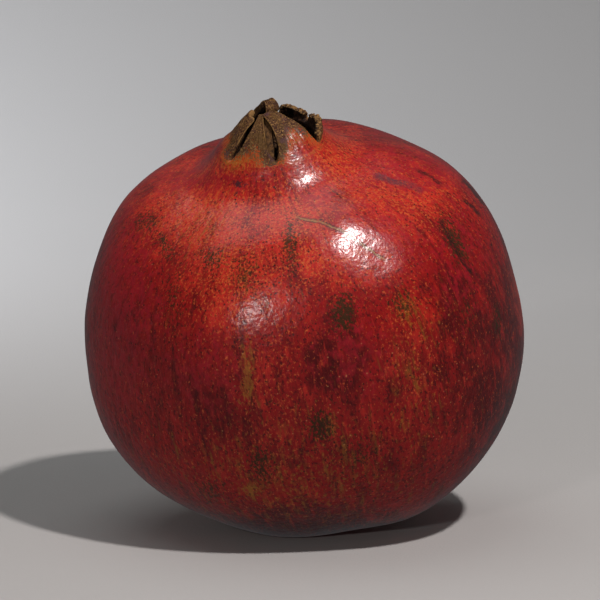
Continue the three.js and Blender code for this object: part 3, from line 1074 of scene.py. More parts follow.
    def sink_scar(self, mesh: bpy.types.Mesh) -> None:
        """Sinks the skin a little along the healed scratch, which parts the main highlight in two.

        Args:
            mesh: the resting skin.
        """
        points = mesh_points(mesh) / MM
        right, up, to_eye = self.viewpoint.seen(points, self.middle())
        normals = mesh_normals(mesh)
        front = smooth_step(np.einsum("ij,ij->i", normals, to_eye), 0.1, 0.4)
        scar = next(line for line in LINES if line.kind is LineKind.SCAR)
        distance, ending = self.beside(scar, right, up)
        valley = np.exp(-((distance / self.scar_valley_half_width) ** 2)) * (1 - smooth_step(ending, 0, 5))
        points -= normals * (valley * front * self.scar_valley_depth)[:, None]
        set_mesh_points(mesh, points * MM)

    def mark(self, mesh: bpy.types.Mesh) -> None:
        """Keeps the patches and lines on the skin as attributes.

        Args:
            mesh: the resting skin.
        """
        points = mesh_points(mesh) / MM
        right, up, to_eye = self.viewpoint.seen(points, self.middle())
        facing = np.einsum("ij,ij->i", mesh_normals(mesh), to_eye)
        front = smooth_step(facing, 0.0, 0.12)
        for kind in MarkKind:
            amount = np.zeros(len(points))
            for patch in PATCHES:
                if patch.kind is not kind:
                    continue
                x, z = turned(right - patch.right, up - patch.up, -math.radians(patch.turn))
                away = np.hypot(x / patch.half_width, z / patch.half_height)
                amount = np.maximum(amount, patch.strength * np.exp(-(away**2.4) * 0.8))
            if kind in HIDDEN_MARKS:
                size, most = HIDDEN_MARKS[kind]
                grown = smooth_step(noise_at(points, size, size), -0.1, 0.6) * most
                amount = amount * front + grown * (1 - smooth_step(facing, 0.05, 0.35))
            write_attribute(mesh, kind.value, amount)
        offset = np.full(len(points), 3.0)
        reaches = {kind: np.zeros(len(points)) for kind in LineKind}
        for line in LINES:
            distance, ending = self.beside(line, right, up)
            nearer = np.abs(distance) + ending < np.abs(offset)
            offset = np.where(nearer, distance, offset)
            reach = (1 - smooth_step(np.abs(distance), 1.2, 2.6)) * (1 - smooth_step(ending, 0, 1.2))
            reaches[line.kind] = np.maximum(reaches[line.kind], reach * line.strength * front)
        write_attribute(mesh, "line_offset", offset)
        for kind, reach in reaches.items():
            write_attribute(mesh, kind.value, reach)

    def beside(self, line: Line, right: np.ndarray, up: np.ndarray) -> tuple[np.ndarray, np.ndarray]:
        """How far points lie beside a line.

        Args:
            line: the line.
            right: the points' places right of the fruit's middle.
            up: the points' places above it.

        Returns:
            The distance to the line, which is positive on its upper side, and how far past its ends.
        """
        best = np.full(len(right), 1e9)
        signed = np.zeros(len(right))
        ending = np.zeros(len(right))
        last = len(line.places) - 2
        for i, (start, end) in enumerate(zip(line.places, line.places[1:])):
            run = np.array(end) - np.array(start)
            length = float(np.hypot(*run))
            run /= length
            x, z = right - start[0], up - start[1]
            forward = x * run[0] + z * run[1]
            side = -x * run[1] + z * run[0]
            held = np.clip(forward, 0, length)
            away = np.hypot(forward - held, side)
            past = np.maximum(-forward, 0) * (i == 0) + np.maximum(forward - length, 0) * (i == last)
            nearer = away < best
            best = np.where(nearer, away, best)
            sign = np.where(side < 0, -1, 1)
            signed = np.where(nearer, np.where(past > 0, side, sign * away), signed)
            ending = np.where(nearer, past, ending)
        return signed, ending

    def mark_crown(self, mesh: bpy.types.Mesh) -> None:
        """Keeps how dry a sepal is on the way up, the painted highlight along its edges and tip, and the
        inside, partly painted shade.

        Args:
            mesh: the resting skin.
        """
        along = read_attribute(mesh, "along")
        across = read_attribute(mesh, "across")
        inwards = read_attribute(mesh, "inwards")
        number = np.round(read_attribute(mesh, "sepal")).astype(int)
        height = read_attribute(mesh, "height_up")
        dry_from = np.array([0.2] + [sepal.dry_from for sepal in self.sepals])[number]
        dry_left = np.array([0.0] + [sepal.dry_sides[0] for sepal in self.sepals])[number]
        dry_right = np.array([0.0] + [sepal.dry_sides[1] for sepal in self.sepals])[number]
        length_up = (height - self.form.rim_height) / 8.0
        level = np.where(along > 0.01, along, np.minimum(length_up, 0))
        level = level + dry_left * smooth_step(-across, 0.2, 1.0) + dry_right * smooth_step(across, 0.2, 1.0)
        # The inner faces of the sepals and the cup are painted dark: partly the dry inner skin's brown,
        # partly painted shade.
        flank, hood_flank = smooth_step(inwards, 0.3, 0.75), smooth_step(inwards, 0.6, 1.0)
        inner_flank_and_shade = np.where(number == self.hood_number, hood_flank, flank)
        inside = np.maximum(inner_flank_and_shade, self.in_cup(mesh))
        on_stump = (height < 0) * (1 - smooth_step(read_attribute(mesh, "from_core"), 2.9, 3.4))
        dry = smooth_step(level - dry_from, -0.45, 0.35)
        write_attribute(mesh, "dry", np.maximum.reduce([dry, inside, on_stump]))
        write_attribute(mesh, "inside", inside)
        # A painted highlight: a pale line along each sepal's edges and its tip.
        edge = smooth_step(np.abs(across), 0.9, 1.0) * smooth_step(along, 0.25, 0.6)
        edge = edge * (1 - smooth_step(inwards, 0.0, 0.3))
        is_broken = np.isin(number, self.broken_numbers)
        tip = smooth_step(along, 0.95, 1.0) * np.where(is_broken, 0, 0.6)
        write_attribute(mesh, "edge", np.maximum(edge, tip))
        write_attribute(mesh, "broken", is_broken * smooth_step(along, 0.75, 0.95))

    def in_cup(self, mesh: bpy.types.Mesh) -> np.ndarray:
        """Tells the cup from the rest.

        Args:
            mesh: the resting skin.

        Returns:
            For each vertex, 1 on the wall and the floor of the cup, and 0 elsewhere.
        """
        within = read_attribute(mesh, "from_core") < self.form.rim_radius - self.form.rim_thickness * 0.4
        above_floor = read_attribute(mesh, "height_up") > self.form.rim_height - self.form.cup_depth - 1
        on_wall = read_attribute(mesh, "along") < 0.001
        return (within & above_floor & on_wall).astype(float)


# The withered stamens


@dataclass(frozen=True)
class StamenRing:
    """Stamens that stand in a ring in the cup: how far from the core, how high, how many and how long."""

    radius: float
    above_floor: float
    count: int
    length: float
    lean_in: float


@dataclass
class Stamens:
    """The dry, shrunken stamens that fill the cup, each a crooked thread with a shrivelled head.

    Outline is one stamen of unit length from its foot to its head, each ring as (radius, aside, up).
    """

    form: FruitForm = FruitForm()
    rings: tuple[StamenRing, ...] = (
        StamenRing(8.4, 0.8, 34, 4.6, 0.3),
        StamenRing(6.6, 0.3, 30, 5.8, 0.3),
        StamenRing(4.6, 0.1, 22, 6.6, 0.2),
        StamenRing(2.4, 0.1, 12, 6.8, 0.1),
    )
    thread_radius: float = 0.19
    sides: int = 6
    outline: tuple[tuple[float, float, float], ...] = (
        (1.0, 0.0, 0.0), (1.0, 0.02, 0.22), (0.9, -0.03, 0.45), (0.85, 0.03, 0.66), (1.0, 0.09, 0.84),
        (1.6, 0.1, 0.87), (1.8, 0.13, 0.93), (1.3, 0.15, 0.98), (0.5, 0.16, 1.0),
    )
    crook_up: tuple[float, ...] = (0, 0.22, 0.45, 0.66, 0.84, 1)
    crook_aside: tuple[float, ...] = (0, 0.02, -0.03, 0.03, 0.09, 0.16)
    seed: int = 11

    def build(self, middle: Vector) -> bpy.types.Object:
        """Models one stamen, copies it round the cup and joins the copies.

        Args:
            middle: the middle of the resting fruit's body.

        Returns:
            The finished piece, dressed and riding on its body.
        """
        first = extrude_rings(self.sides, list(self.outline))
        chance = np.random.default_rng(self.seed)
        to_rest = Matrix.Translation(middle) @ self.form.lean().to_4x4()
        copies = []
        for ring in self.rings:
            for i in range(ring.count):
                copies.append(self.copy(first, ring, i, chance, to_rest))
        bpy.data.objects.remove(first)
        only(copies[0])
        for copy in copies:
            copy.select_set(True)
        bpy.ops.object.join()
        piece = bpy.context.active_object
        bpy.ops.object.shade_smooth()
        fibre = DryFibre("withered stamen", "#160e08", "#5a4024")
        return finish_piece(piece, "stamens", fibre.material())

    def copy(
        self,
        first: bpy.types.Object,
        ring: StamenRing,
        number: int,
        chance: np.random.Generator,
        to_rest: Matrix,
    ) -> bpy.types.Object:
        """Copies the first stamen to its place in a ring.

        Args:
            first: the stamen of unit length.
            ring: the ring.
            number: which stamen of the ring it is.
            chance: the stream of random numbers.
            to_rest: from the upright fruit to the resting one, in millimetres.

        Returns:
            The copy, whose object is at the origin.
        """
        around = 2 * math.pi * (number + 0.8 * chance.random()) / ring.count
        length = ring.length * (0.7 + 0.45 * chance.random())
        lean_in = ring.lean_in + 0.5 * (chance.random() - 0.4)
        lean_aside = 0.7 * (chance.random() - 0.5)
        twist = 2 * math.pi * chance.random()
        copy = first.copy()
        copy.data = first.data.copy()
        bpy.context.collection.objects.link(copy)
        points = mesh_points(copy.data)
        swing = 0.55 + 0.9 * chance.random()
        crook = np.interp(points[:, 2], self.crook_up, self.crook_aside)
        thread = self.thread_radius * (0.8 + 0.5 * chance.random())
        points[:, 0] = (points[:, 0] - crook) * thread + crook * length * swing
        points[:, 1] *= thread
        points[:, 2] *= length
        set_mesh_points(copy.data, points)
        floor = self.form.rim_height - self.form.cup_depth + ring.above_floor
        foot = Vector((ring.radius * math.sin(around), -ring.radius * math.cos(around), floor - 0.4))
        stand = Matrix.Translation(foot) @ Matrix.Rotation(around, 4, "Z")
        lean = Matrix.Rotation(-lean_in, 4, "X") @ Matrix.Rotation(lean_aside, 4, "Y")
        placed = to_rest @ stand @ lean @ Matrix.Rotation(twist, 4, "Z")
        copy.data.transform(Matrix.Scale(MM, 4) @ placed)
        return copy


@dataclass
class InnerFlap:
    """A dry strip of inner skin that stands behind the slit in the middle of the crown's front."""

    form: FruitForm = FruitForm()
    behind_rim: float = 1.5
    thickness: float = 0.5
    creases: Unevenness = Unevenness(1.6, 0.12, 4.4)
    strip: Sepal = Sepal(
        353, 347, 359, ((0, 0), (3.6, 3.6), (6.6, 5.6), (9.2, 7.0)), 2.2, 1.4, 5, shift=0.7, ragged=0.12
    )

    def build(self, middle: Vector) -> bpy.types.Object:
        """Models the strip from a grid, bent like a sepal, and thickens it.

        Args:
            middle: the middle of the resting fruit's body.

        Returns:
            The finished piece, dressed and riding on its body.
        """
        bpy.ops.object.select_all(action="DESELECT")
        bpy.ops.mesh.primitive_grid_add(x_subdivisions=8, y_subdivisions=24, size=2)
        piece = bpy.context.active_object
        flat = mesh_points(piece.data)
        inner = replace(self.form, rim_radius=self.form.rim_radius - self.behind_rim)
        along = (flat[:, 1] + 1) / 2
        points = self.strip.place(inner, flat[:, 0], np.zeros(len(flat)), along)
        points += self.creases.at(points)[:, None]
        set_mesh_points(piece.data, points)
        to_rest = Matrix.Translation(middle) @ self.form.lean().to_4x4()
        piece.data.transform(Matrix.Scale(MM, 4) @ to_rest)
        thick = piece.modifiers.new("thickness", "SOLIDIFY")
        thick.thickness = self.thickness * MM
        bpy.ops.object.modifier_apply(modifier=thick.name)
        bpy.ops.object.mode_set(mode="EDIT")
        face_outwards()
        bpy.ops.object.shade_smooth()
        dry_skin = DryFibre("dried inner skin", "#24160c", "#6e4e2c")
        return finish_piece(piece, "inner_flap", dry_skin.material())


# Finishes


@dataclass(frozen=True)
class SkinLayer:
    """One colour of the skin: a grain of some width, laid where grain plus mark passes from low to high."""

    lie: str
    width: float
    low: float
    high: float
    strength: float
    shade: str
    mark: MarkKind
    weight: float


@dataclass(frozen=True)
class SkinDots:
    """Dots of one kind: their spacing and sizes, and what share there is everywhere and in clusters."""

    mark: MarkKind
    spacing: float
    full: float
    gone: float
    shade: str
    strength: float
    everywhere: float
    clustered: float


@dataclass(frozen=True)
class Stroke:
    """One colour along a line on the skin: full to that far beside it, and gone from there on."""

    line: LineKind
    full: float
    gone: float
    shade: str
    strength: float


@dataclass(frozen=True)
class WaxedRind:
    """Pomegranate rind: leathery skin under natural wax, grown in the sun, so finely flecked all over."""

    red: str = "#8c0a0a"
    # the deep red also paints shade below the neck and at the bottom where the fruit rests
    deep_red_and_shade: str = "#4c0306"
    bright_red: str = "#c2281a"
    # the pink is partly a painted sheen along the rims and round the main highlight
    pink_and_sheen: str = "#9c0f20"
    fleck_light: str = "#cc5c2a"
    fleck_dark: str = "#420608"
    gold: str = "#94601a"
    olive: str = "#2e2409"
    bruise: str = "#3a1e24"
    pepper: str = "#24100a"
    pale_speck: str = "#c48a58"
    dry_olive: str = "#563d1b"
    dry_brown: str = "#523420"
    dry_dark: str = "#24140e"
    dry_light: str = "#94703f"
    dry_plum: str = "#4e3238"
    turning: str = "#b85818"
    scuff: str = "#46303a"
    # the inside colours are partly the inner skin's brown and partly painted shade in the cup and between the
    # sepals
    dark_inside_and_shade: str = "#150c08"
    inside_light: str = "#4a3020"
    # the pale colour is tan on broken tops and scars, and a painted highlight along the sepals' edges and
    # tips
    pale_tan_and_highlight: str = "#b08850"
    wax: float = 0.85
    wax_roughness: float = 0.23
    relief_in_wax: float = 0.7
    skin_gloss: float = 0.18
    skin_roughness: float = 0.28
    smear_roughness: float = 0.22
    dried_roughness: float = 0.35
    layer_detail: float = 5.0
    layer_roughness: float = 0.62
    fleck_size: float = 0.5
    dark_fleck_size: float = 0.7
    fleck_stretch: float = 0.6
    streak_stretch: float = 0.2
    pepper_spacing: float = 0.85
    speck_spacing: float = 1.5
    grain_rise: float = 0.05
    dried_grain_rise: float = 0.12
    pebble_rise: float = 0.16

    def material(self, form: FruitForm, middle: Vector) -> bpy.types.Material:
        """Makes the material.

        Args:
            form: the fruit's form, for its lean and its size.
            middle: the middle of its body.

        Returns:
            The material.
        """
        material, tree = new_material("waxed pomegranate rind")
        dots, flecks, streaks = self.coordinates(tree, form, middle)
        colour = self.fresh(tree, {"flecks": flecks, "streaks": streaks})
        colour = self.dots(tree, colour, dots)
        colour = self.lines(tree, colour, dots)
        colour = self.dried(tree, colour, dots, flecks)
        colour = self.tops_edge_highlight_and_inner_shade(tree, colour, dots)
        roughness, wax = self.shine(tree, dots)
        skin_relief, wax_relief = self.relief(tree, dots, flecks)
        shader = add_node(
            tree,
            "ShaderNodeBsdfPrincipled",
            {
                "Base Color": colour,
                "Roughness": roughness,
                "Normal": skin_relief,
                "Specular IOR Level": self.skin_gloss,
                "Coat Weight": wax,
                "Coat Roughness": self.wax_roughness,
                "Coat Normal": wax_relief,
            },
        )
        add_node(tree, "ShaderNodeOutputMaterial", {"Surface": shader.outputs["BSDF"]})
        return material

    def coordinates(self, tree: Tree, form: FruitForm, middle: Vector) -> tuple[Socket, Socket, Socket]:
        """Coordinates that follow the fruit, in millimetres.

        Args:
            tree: the material's nodes.
            form: the fruit's form, for its lean and its size.
            middle: the middle of its body.

        Returns:
            Sockets for round dots, for flecks that are a little longer from stalk to crown, and for streaks.
        """
        source = add_node(tree, "ShaderNodeTexCoord")
        upright = add_node(
            tree,
            "ShaderNodeMapping",
            {
                "Vector": source.outputs["Object"],
                "Location": middle * MM,
                "Rotation": (math.radians(form.lean_forward), -math.radians(form.lean_left), 0),
                "Scale": (MM, MM, MM),
            },
            vector_type="TEXTURE",
        ).outputs[0]
        flecks = add_node(
            tree, "ShaderNodeMapping", {"Vector": upright, "Scale": (1, 1, self.fleck_stretch)}
        ).outputs[0]
        parts = add_node(tree, "ShaderNodeSeparateXYZ", {0: upright})
        level = add_node(tree, "ShaderNodeCombineXYZ", {0: parts.outputs[0], 1: parts.outputs[1]}).outputs[0]
        from_core = add_node(tree, "ShaderNodeVectorMath", {0: level}, operation="LENGTH").outputs["Value"]
        unit = add_node(tree, "ShaderNodeVectorMath", {0: level}, operation="NORMALIZE").outputs[0]
        latitude = add_node(
            tree, "ShaderNodeMath", {0: parts.outputs[2], 1: from_core}, operation="ARCTAN2"
        ).outputs[0]
        stretched = form.belly_radius * self.streak_stretch
        up = add_node(tree, "ShaderNodeMath", {0: latitude, 1: stretched}, operation="MULTIPLY").outputs[0]
        up_vector = add_node(tree, "ShaderNodeCombineXYZ", {2: up}).outputs[0]
        streaks = add_node(
            tree,
            "ShaderNodeVectorMath",
            {0: unit, 1: (form.belly_radius,) * 3, 2: up_vector},
            operation="MULTIPLY_ADD",
        ).outputs[0]
        return upright, flecks, streaks

    def layers(self) -> tuple[SkinLayer, ...]:
        """The colours of the fresh skin.

        Returns:
            The layers, from the ground up to the specks.
        """
        return (
            # the deep red also lays painted shade below the neck and at the bottom, through its marks
            SkinLayer("flecks", 5.0, 0.62, 0.9, 0.9, self.deep_red_and_shade, MarkKind.DEEP_AND_SHADE, 0.38),
            SkinLayer("flecks", 4.5, 0.56, 0.86, 0.95, self.bright_red, MarkKind.BLUSH, 0.36),
            SkinLayer("streaks", 2.6, 0.5, 0.68, 0.65, self.deep_red_and_shade, MarkKind.DEEP_AND_SHADE, 0.06),
            SkinLayer("streaks", 1.2, 0.54, 0.7, 0.5, self.bright_red, MarkKind.BLUSH, 0.08),
            SkinLayer("streaks", 1.3, 0.62, 0.86, 0.6, self.gold, MarkKind.GOLD, 0.36),
            SkinLayer("flecks", self.fleck_size, 0.57, 0.72, 0.85, self.fleck_light, MarkKind.BLUSH, 0.12),
            SkinLayer("flecks", self.dark_fleck_size, 0.48, 0.36, 0.8, self.fleck_dark, MarkKind.BLUSH, 0.02),
            # the pink layer is partly a painted sheen along the rims and round the main highlight
            SkinLayer("flecks", 1.6, 0.6, 0.86, 0.75, self.pink_and_sheen, MarkKind.PINK_AND_SHEEN, 0.3),
            SkinLayer("flecks", 0.8, 0.64, 0.84, 0.75, self.gold, MarkKind.GOLD, 0.34),
            SkinLayer("flecks", 0.55, 0.6, 0.74, 0.9, self.olive, MarkKind.OLIVE, 0.32),
            SkinLayer("flecks", 0.8, 0.72, 0.9, 0.9, self.bruise, MarkKind.BRUISE, 0.42),
        )

    def fresh(self, tree: Tree, coordinates: dict[str, Socket]) -> Socket:
        """Lays the layers of the fresh skin over each other, on its red ground.

        Args:
            tree: the material's nodes.
            coordinates: the coordinates, by the name that a layer gives as its lie.

        Returns:
            The colour.
        """
        colour = linear(self.red)
        for layer in self.layers():
            grain = add_node(
                tree,
                "ShaderNodeTexNoise",
                {
                    "Vector": coordinates[layer.lie],
                    "Scale": 1 / layer.width,
                    "Detail": self.layer_detail,
                    "Roughness": self.layer_roughness,
                },
            ).outputs[0]
            mark = add_node(tree, "ShaderNodeAttribute", attribute_name=layer.mark.value).outputs["Fac"]
            level = add_node(
                tree, "ShaderNodeMath", {0: mark, 1: layer.weight, 2: grain}, operation="MULTIPLY_ADD"
            ).outputs[0]
            share = add_node(
                tree,
                "ShaderNodeMapRange",
                {"Value": level, "From Min": layer.low, "From Max": layer.high, "To Max": layer.strength},
                interpolation_type="SMOOTHSTEP",
            ).outputs[0]
            colour = add_node(
                tree, "ShaderNodeMix", {0: share, 6: colour, 7: linear(layer.shade)}, data_type="RGBA"
            ).outputs[2]
        return colour

    def dots(self, tree: Tree, colour: Socket, on_skin: Socket) -> Socket:
        """Dark dots in clusters, and tiny pale specks where the skin breathes.

        Args:
            tree: the material's nodes.
            colour: the colour under them.
            on_skin: coordinates on the skin.

        Returns:
            The colour with the dots.
        """
        kinds = (
            SkinDots(MarkKind.PEPPER, self.pepper_spacing, 0.14, 0.34, self.pepper, 0.85, 0.1, 0.85),
            SkinDots(MarkKind.SALT, self.speck_spacing, 0.06, 0.15, self.pale_speck, 0.5, 0.1, 0.5),
        )
        for kind in kinds:
            cells = add_node(tree, "ShaderNodeTexVoronoi", {"Vector": on_skin, "Scale": 1 / kind.spacing})
            chance = add_node(tree, "ShaderNodeSeparateColor", {0: cells.outputs["Color"]}).outputs[0]
            cluster = add_node(tree, "ShaderNodeAttribute", attribute_name=kind.mark.value).outputs["Fac"]
            wanted = add_node(
                tree,
                "ShaderNodeMath",
                {0: cluster, 1: kind.clustered, 2: kind.everywhere},
                operation="MULTIPLY_ADD",
            ).outputs[0]
            chosen = add_node(
                tree, "ShaderNodeMath", {0: chance, 1: wanted}, operation="LESS_THAN"
            ).outputs[0]
            dot = add_node(
                tree,
                "ShaderNodeMapRange",
                {
                    "Value": cells.outputs["Distance"],
                    "From Min": kind.full,
                    "From Max": kind.gone,
                    "To Min": kind.strength,
                    "To Max": 0.0,
                },
                interpolation_type="SMOOTHSTEP",
            ).outputs[0]
            share = add_node(tree, "ShaderNodeMath", {0: dot, 1: chosen}, operation="MULTIPLY").outputs[0]
            colour = add_node(
                tree, "ShaderNodeMix", {0: share, 6: colour, 7: linear(kind.shade)}, data_type="RGBA"
            ).outputs[2]
        return colour

    def lines(self, tree: Tree, colour: Socket, on_skin: Socket) -> Socket:
        """The healed scratch, the dark nicks and the scuffs.

        Args:
            tree: the material's nodes.
            colour: the colour under them.
            on_skin: coordinates on the skin.

        Returns:
            The colour with the lines.
        """
        offset = add_node(tree, "ShaderNodeAttribute", attribute_name="line_offset").outputs["Fac"]
        waver = add_node(
            tree, "ShaderNodeTexNoise", {"Vector": on_skin, "Scale": 1 / 1.4, "Detail": 2}
        ).outputs[0]
        shifted = add_node(
            tree, "ShaderNodeMath", {0: waver, 1: 0.9, 2: -0.45}, operation="MULTIPLY_ADD"
        ).outputs[0]
        wavering = add_node(tree, "ShaderNodeMath", {0: offset, 1: shifted}, operation="ADD").outputs[0]
        away = add_node(tree, "ShaderNodeMath", {0: wavering}, operation="ABSOLUTE").outputs[0]
        crumbs = add_node(
            tree, "ShaderNodeTexNoise", {"Vector": on_skin, "Scale": 1 / 0.5, "Detail": 3, "Roughness": 0.7}
        ).outputs[0]
        whole = add_node(
            tree,
            "ShaderNodeMapRange",
            {"Value": crumbs, "From Min": 0.36, "From Max": 0.54, "To Min": 0.25, "To Max": 1.0},
        ).outputs[0]
        strokes = (
            Stroke(LineKind.SCAR, 0.32, 0.62, self.pepper, 0.8),
            Stroke(LineKind.SCAR, 0.04, 0.3, self.pale_tan_and_highlight, 0.7),
            Stroke(LineKind.NICK, 0.15, 0.6, self.pepper, 0.95),
            Stroke(LineKind.SCUFF, 0.3, 1.0, self.scuff, 0.7),
        )
        for stroke in strokes:
            reach = add_node(tree, "ShaderNodeAttribute", attribute_name=stroke.line.value).outputs["Fac"]
            band = add_node(
                tree,
                "ShaderNodeMapRange",
                {
                    "Value": away,
                    "From Min": stroke.full,
                    "From Max": stroke.gone,
                    "To Min": stroke.strength,
                    "To Max": 0.0,
                },
                interpolation_type="SMOOTHSTEP",
            ).outputs[0]
            share = add_node(tree, "ShaderNodeMath", {0: band, 1: reach}, operation="MULTIPLY").outputs[0]
            share = add_node(tree, "ShaderNodeMath", {0: share, 1: whole}, operation="MULTIPLY").outputs[0]
            colour = add_node(
                tree, "ShaderNodeMix", {0: share, 6: colour, 7: linear(stroke.shade)}, data_type="RGBA"
            ).outputs[2]
        return colour

    def dried(self, tree: Tree, colour: Socket, dots: Socket, flecks: Socket) -> Socket:
        """The fresh skin dries to olive, brown and plum on the way up the sepals.

        Args:
            tree: the material's nodes.
            colour: the fresh skin's colour.
            dots: coordinates for round spots.
            flecks: coordinates for spots that are a little longer from stalk to crown.

        Returns:
            The colour with the dry skin.
        """
        dry = add_node(tree, "ShaderNodeAttribute", attribute_name="dry").outputs["Fac"]
        speckle = add_node(
            tree, "ShaderNodeTexNoise", {"Vector": flecks, "Scale": 1 / 0.4, "Detail": 3, "Roughness": 0.65}
        ).outputs[0]
        drift = add_node(
            tree, "ShaderNodeTexNoise", {"Vector": dots, "Scale": 1 / 2.6, "Detail": 2, "Roughness": 0.5}
        ).outputs[0]
        level = add_node(
            tree, "ShaderNodeMath", {0: speckle, 1: 2.2, 2: -1.45}, operation="MULTIPLY_ADD"
        ).outputs[0]
        level = add_node(
            tree, "ShaderNodeMath", {0: drift, 1: 0.7, 2: level}, operation="MULTIPLY_ADD"
        ).outputs[0]
        level = add_node(tree, "ShaderNodeMath", {0: dry, 1: level}, operation="ADD").outputs[0]
        share = add_node(
            tree,
            "ShaderNodeMapRange",
            {"Value": level, "From Min": 0.3, "From Max": 0.65},
            interpolation_type="SMOOTHSTEP",
        ).outputs[0]
        turning = add_node(
            tree,
            "ShaderNodeMapRange",
            {"Value": level, "From Min": -0.1, "From Max": 0.35, "To Max": 0.65},
            interpolation_type="SMOOTHSTEP",
        ).outputs[0]
        on_sepals = add_node(
            tree, "ShaderNodeMapRange", {"Value": dry, "From Min": 0.02, "From Max": 0.2}
        ).outputs[0]
        turning = add_node(
            tree, "ShaderNodeMath", {0: turning, 1: on_sepals}, operation="MULTIPLY"
        ).outputs[0]
        share = add_node(tree, "ShaderNodeMath", {0: share, 1: on_sepals}, operation="MULTIPLY").outputs[0]
        colour = add_node(
            tree, "ShaderNodeMix", {0: turning, 6: colour, 7: linear(self.turning)}, data_type="RGBA"
        ).outputs[2]
        shades = add_node(tree, "ShaderNodeValToRGB", {0: speckle})
        ramp = shades.color_ramp
        ramp.elements[0].position = 0.36
        ramp.elements[0].color = linear(self.dry_dark)
        ramp.elements[1].position = 0.66
        ramp.elements[1].color = linear(self.dry_light)
        ramp.elements.new(0.5).color = linear(self.dry_brown)
        dry_colour = shades.outputs[0]
        for shade, shift, low, high in ((self.dry_olive, 0.0, 0.45, 0.62), (self.dry_plum, 31.0, 0.52, 0.68)):
            place = add_node(
                tree, "ShaderNodeVectorMath", {0: dots, 1: (shift, 0, 0)}, operation="ADD"
            ).outputs[0]
            clouds = add_node(
                tree, "ShaderNodeTexNoise", {"Vector": place, "Scale": 1 / 3.4, "Detail": 3, "Roughness": 0.6}
            ).outputs[0]
            amount = add_node(
                tree,
                "ShaderNodeMapRange",
                {"Value": clouds, "From Min": low, "From Max": high, "To Max": 0.7},
                interpolation_type="SMOOTHSTEP",
            ).outputs[0]
            dry_colour = add_node(
                tree, "ShaderNodeMix", {0: amount, 6: dry_colour, 7: linear(shade)}, data_type="RGBA"
            ).outputs[2]
        return add_node(
            tree, "ShaderNodeMix", {0: share, 6: colour, 7: dry_colour}, data_type="RGBA"
        ).outputs[2]

    def tops_edge_highlight_and_inner_shade(self, tree: Tree, colour: Socket, dots: Socket) -> Socket:
        """Broken tops are tan, a painted highlight runs along the sepals' edges, and the inside is dark brown
        and painted shade.

        Args:
            tree: the material's nodes.
            colour: the colour of the skin.
            dots: coordinates for round spots.

        Returns:
            The colour with the tan tops, the painted highlight and the painted shade inside.
        """
        crumbs = add_node(
            tree, "ShaderNodeTexNoise", {"Vector": dots, "Scale": 1 / 0.7, "Detail": 3, "Roughness": 0.7}
        ).outputs[0]
        # painted shade: the dark brown inside of the crown, partly the inner skin's own colour
        inside_and_shade_ramp = add_node(tree, "ShaderNodeValToRGB", {0: crumbs})
        ramp = inside_and_shade_ramp.color_ramp
        ramp.elements[0].position = 0.4
        ramp.elements[0].color = linear(self.dark_inside_and_shade)
        ramp.elements[1].position = 0.7
        ramp.elements[1].color = linear(self.inside_light)
        inside = add_node(tree, "ShaderNodeAttribute", attribute_name="inside").outputs["Fac"]
        colour = add_node(
            tree, "ShaderNodeMix", {0: inside, 6: colour, 7: inside_and_shade_ramp.outputs[0]}, data_type="RGBA"
        ).outputs[2]
        # the pale tan of broken tops, and a painted highlight along the sepals' edges and tips
        pale_tops_and_highlit_edges = (("edge", 0.55, 0.6, 0.3, 0.75), ("broken", 0.6, 2.4, 0.86, 1.35))
        for name, strength, gain, low, high in pale_tops_and_highlit_edges:
            amount = add_node(tree, "ShaderNodeAttribute", attribute_name=name).outputs["Fac"]
            level = add_node(
                tree, "ShaderNodeMath", {0: crumbs, 1: gain, 2: -gain / 2}, operation="MULTIPLY_ADD"
            ).outputs[0]
            level = add_node(tree, "ShaderNodeMath", {0: amount, 1: level}, operation="ADD").outputs[0]
            share = add_node(
                tree,
                "ShaderNodeMapRange",
                {"Value": level, "From Min": low, "From Max": high, "To Min": 0.0, "To Max": strength},
                interpolation_type="SMOOTHSTEP",
            ).outputs[0]
            colour = add_node(
                tree, "ShaderNodeMix", {0: share, 6: colour, 7: linear(self.pale_tan_and_highlight)}, data_type="RGBA"
            ).outputs[2]
        return colour

    def shine(self, tree: Tree, dots: Socket) -> tuple[Socket, Socket]:
        """The skin's gloss is smeary, and the wax ends where the sepals are dry.

        Args:
            tree: the material's nodes.
            dots: coordinates for round spots.

        Returns:
            The roughness, and the weight of the wax.
        """
        smears = add_node(
            tree, "ShaderNodeTexNoise", {"Vector": dots, "Scale": 1 / 2.5, "Detail": 4, "Roughness": 0.7}
        ).outputs[0]
        dry = add_node(tree, "ShaderNodeAttribute", attribute_name="dry").outputs["Fac"]
        uneven = add_node(
            tree,
            "ShaderNodeMath",
            {0: smears, 1: self.smear_roughness, 2: self.skin_roughness},
            operation="MULTIPLY_ADD",
        ).outputs[0]
        roughness = add_node(
            tree,
            "ShaderNodeMath",
            {0: dry, 1: self.dried_roughness, 2: uneven},
            operation="MULTIPLY_ADD",
            use_clamp=True,
        ).outputs[0]
        wax = add_node(
            tree,
            "ShaderNodeMapRange",
            {"Value": dry, "From Min": 0.1, "From Max": 0.7, "To Min": self.wax, "To Max": 0.0},
        ).outputs[0]
        return roughness, wax

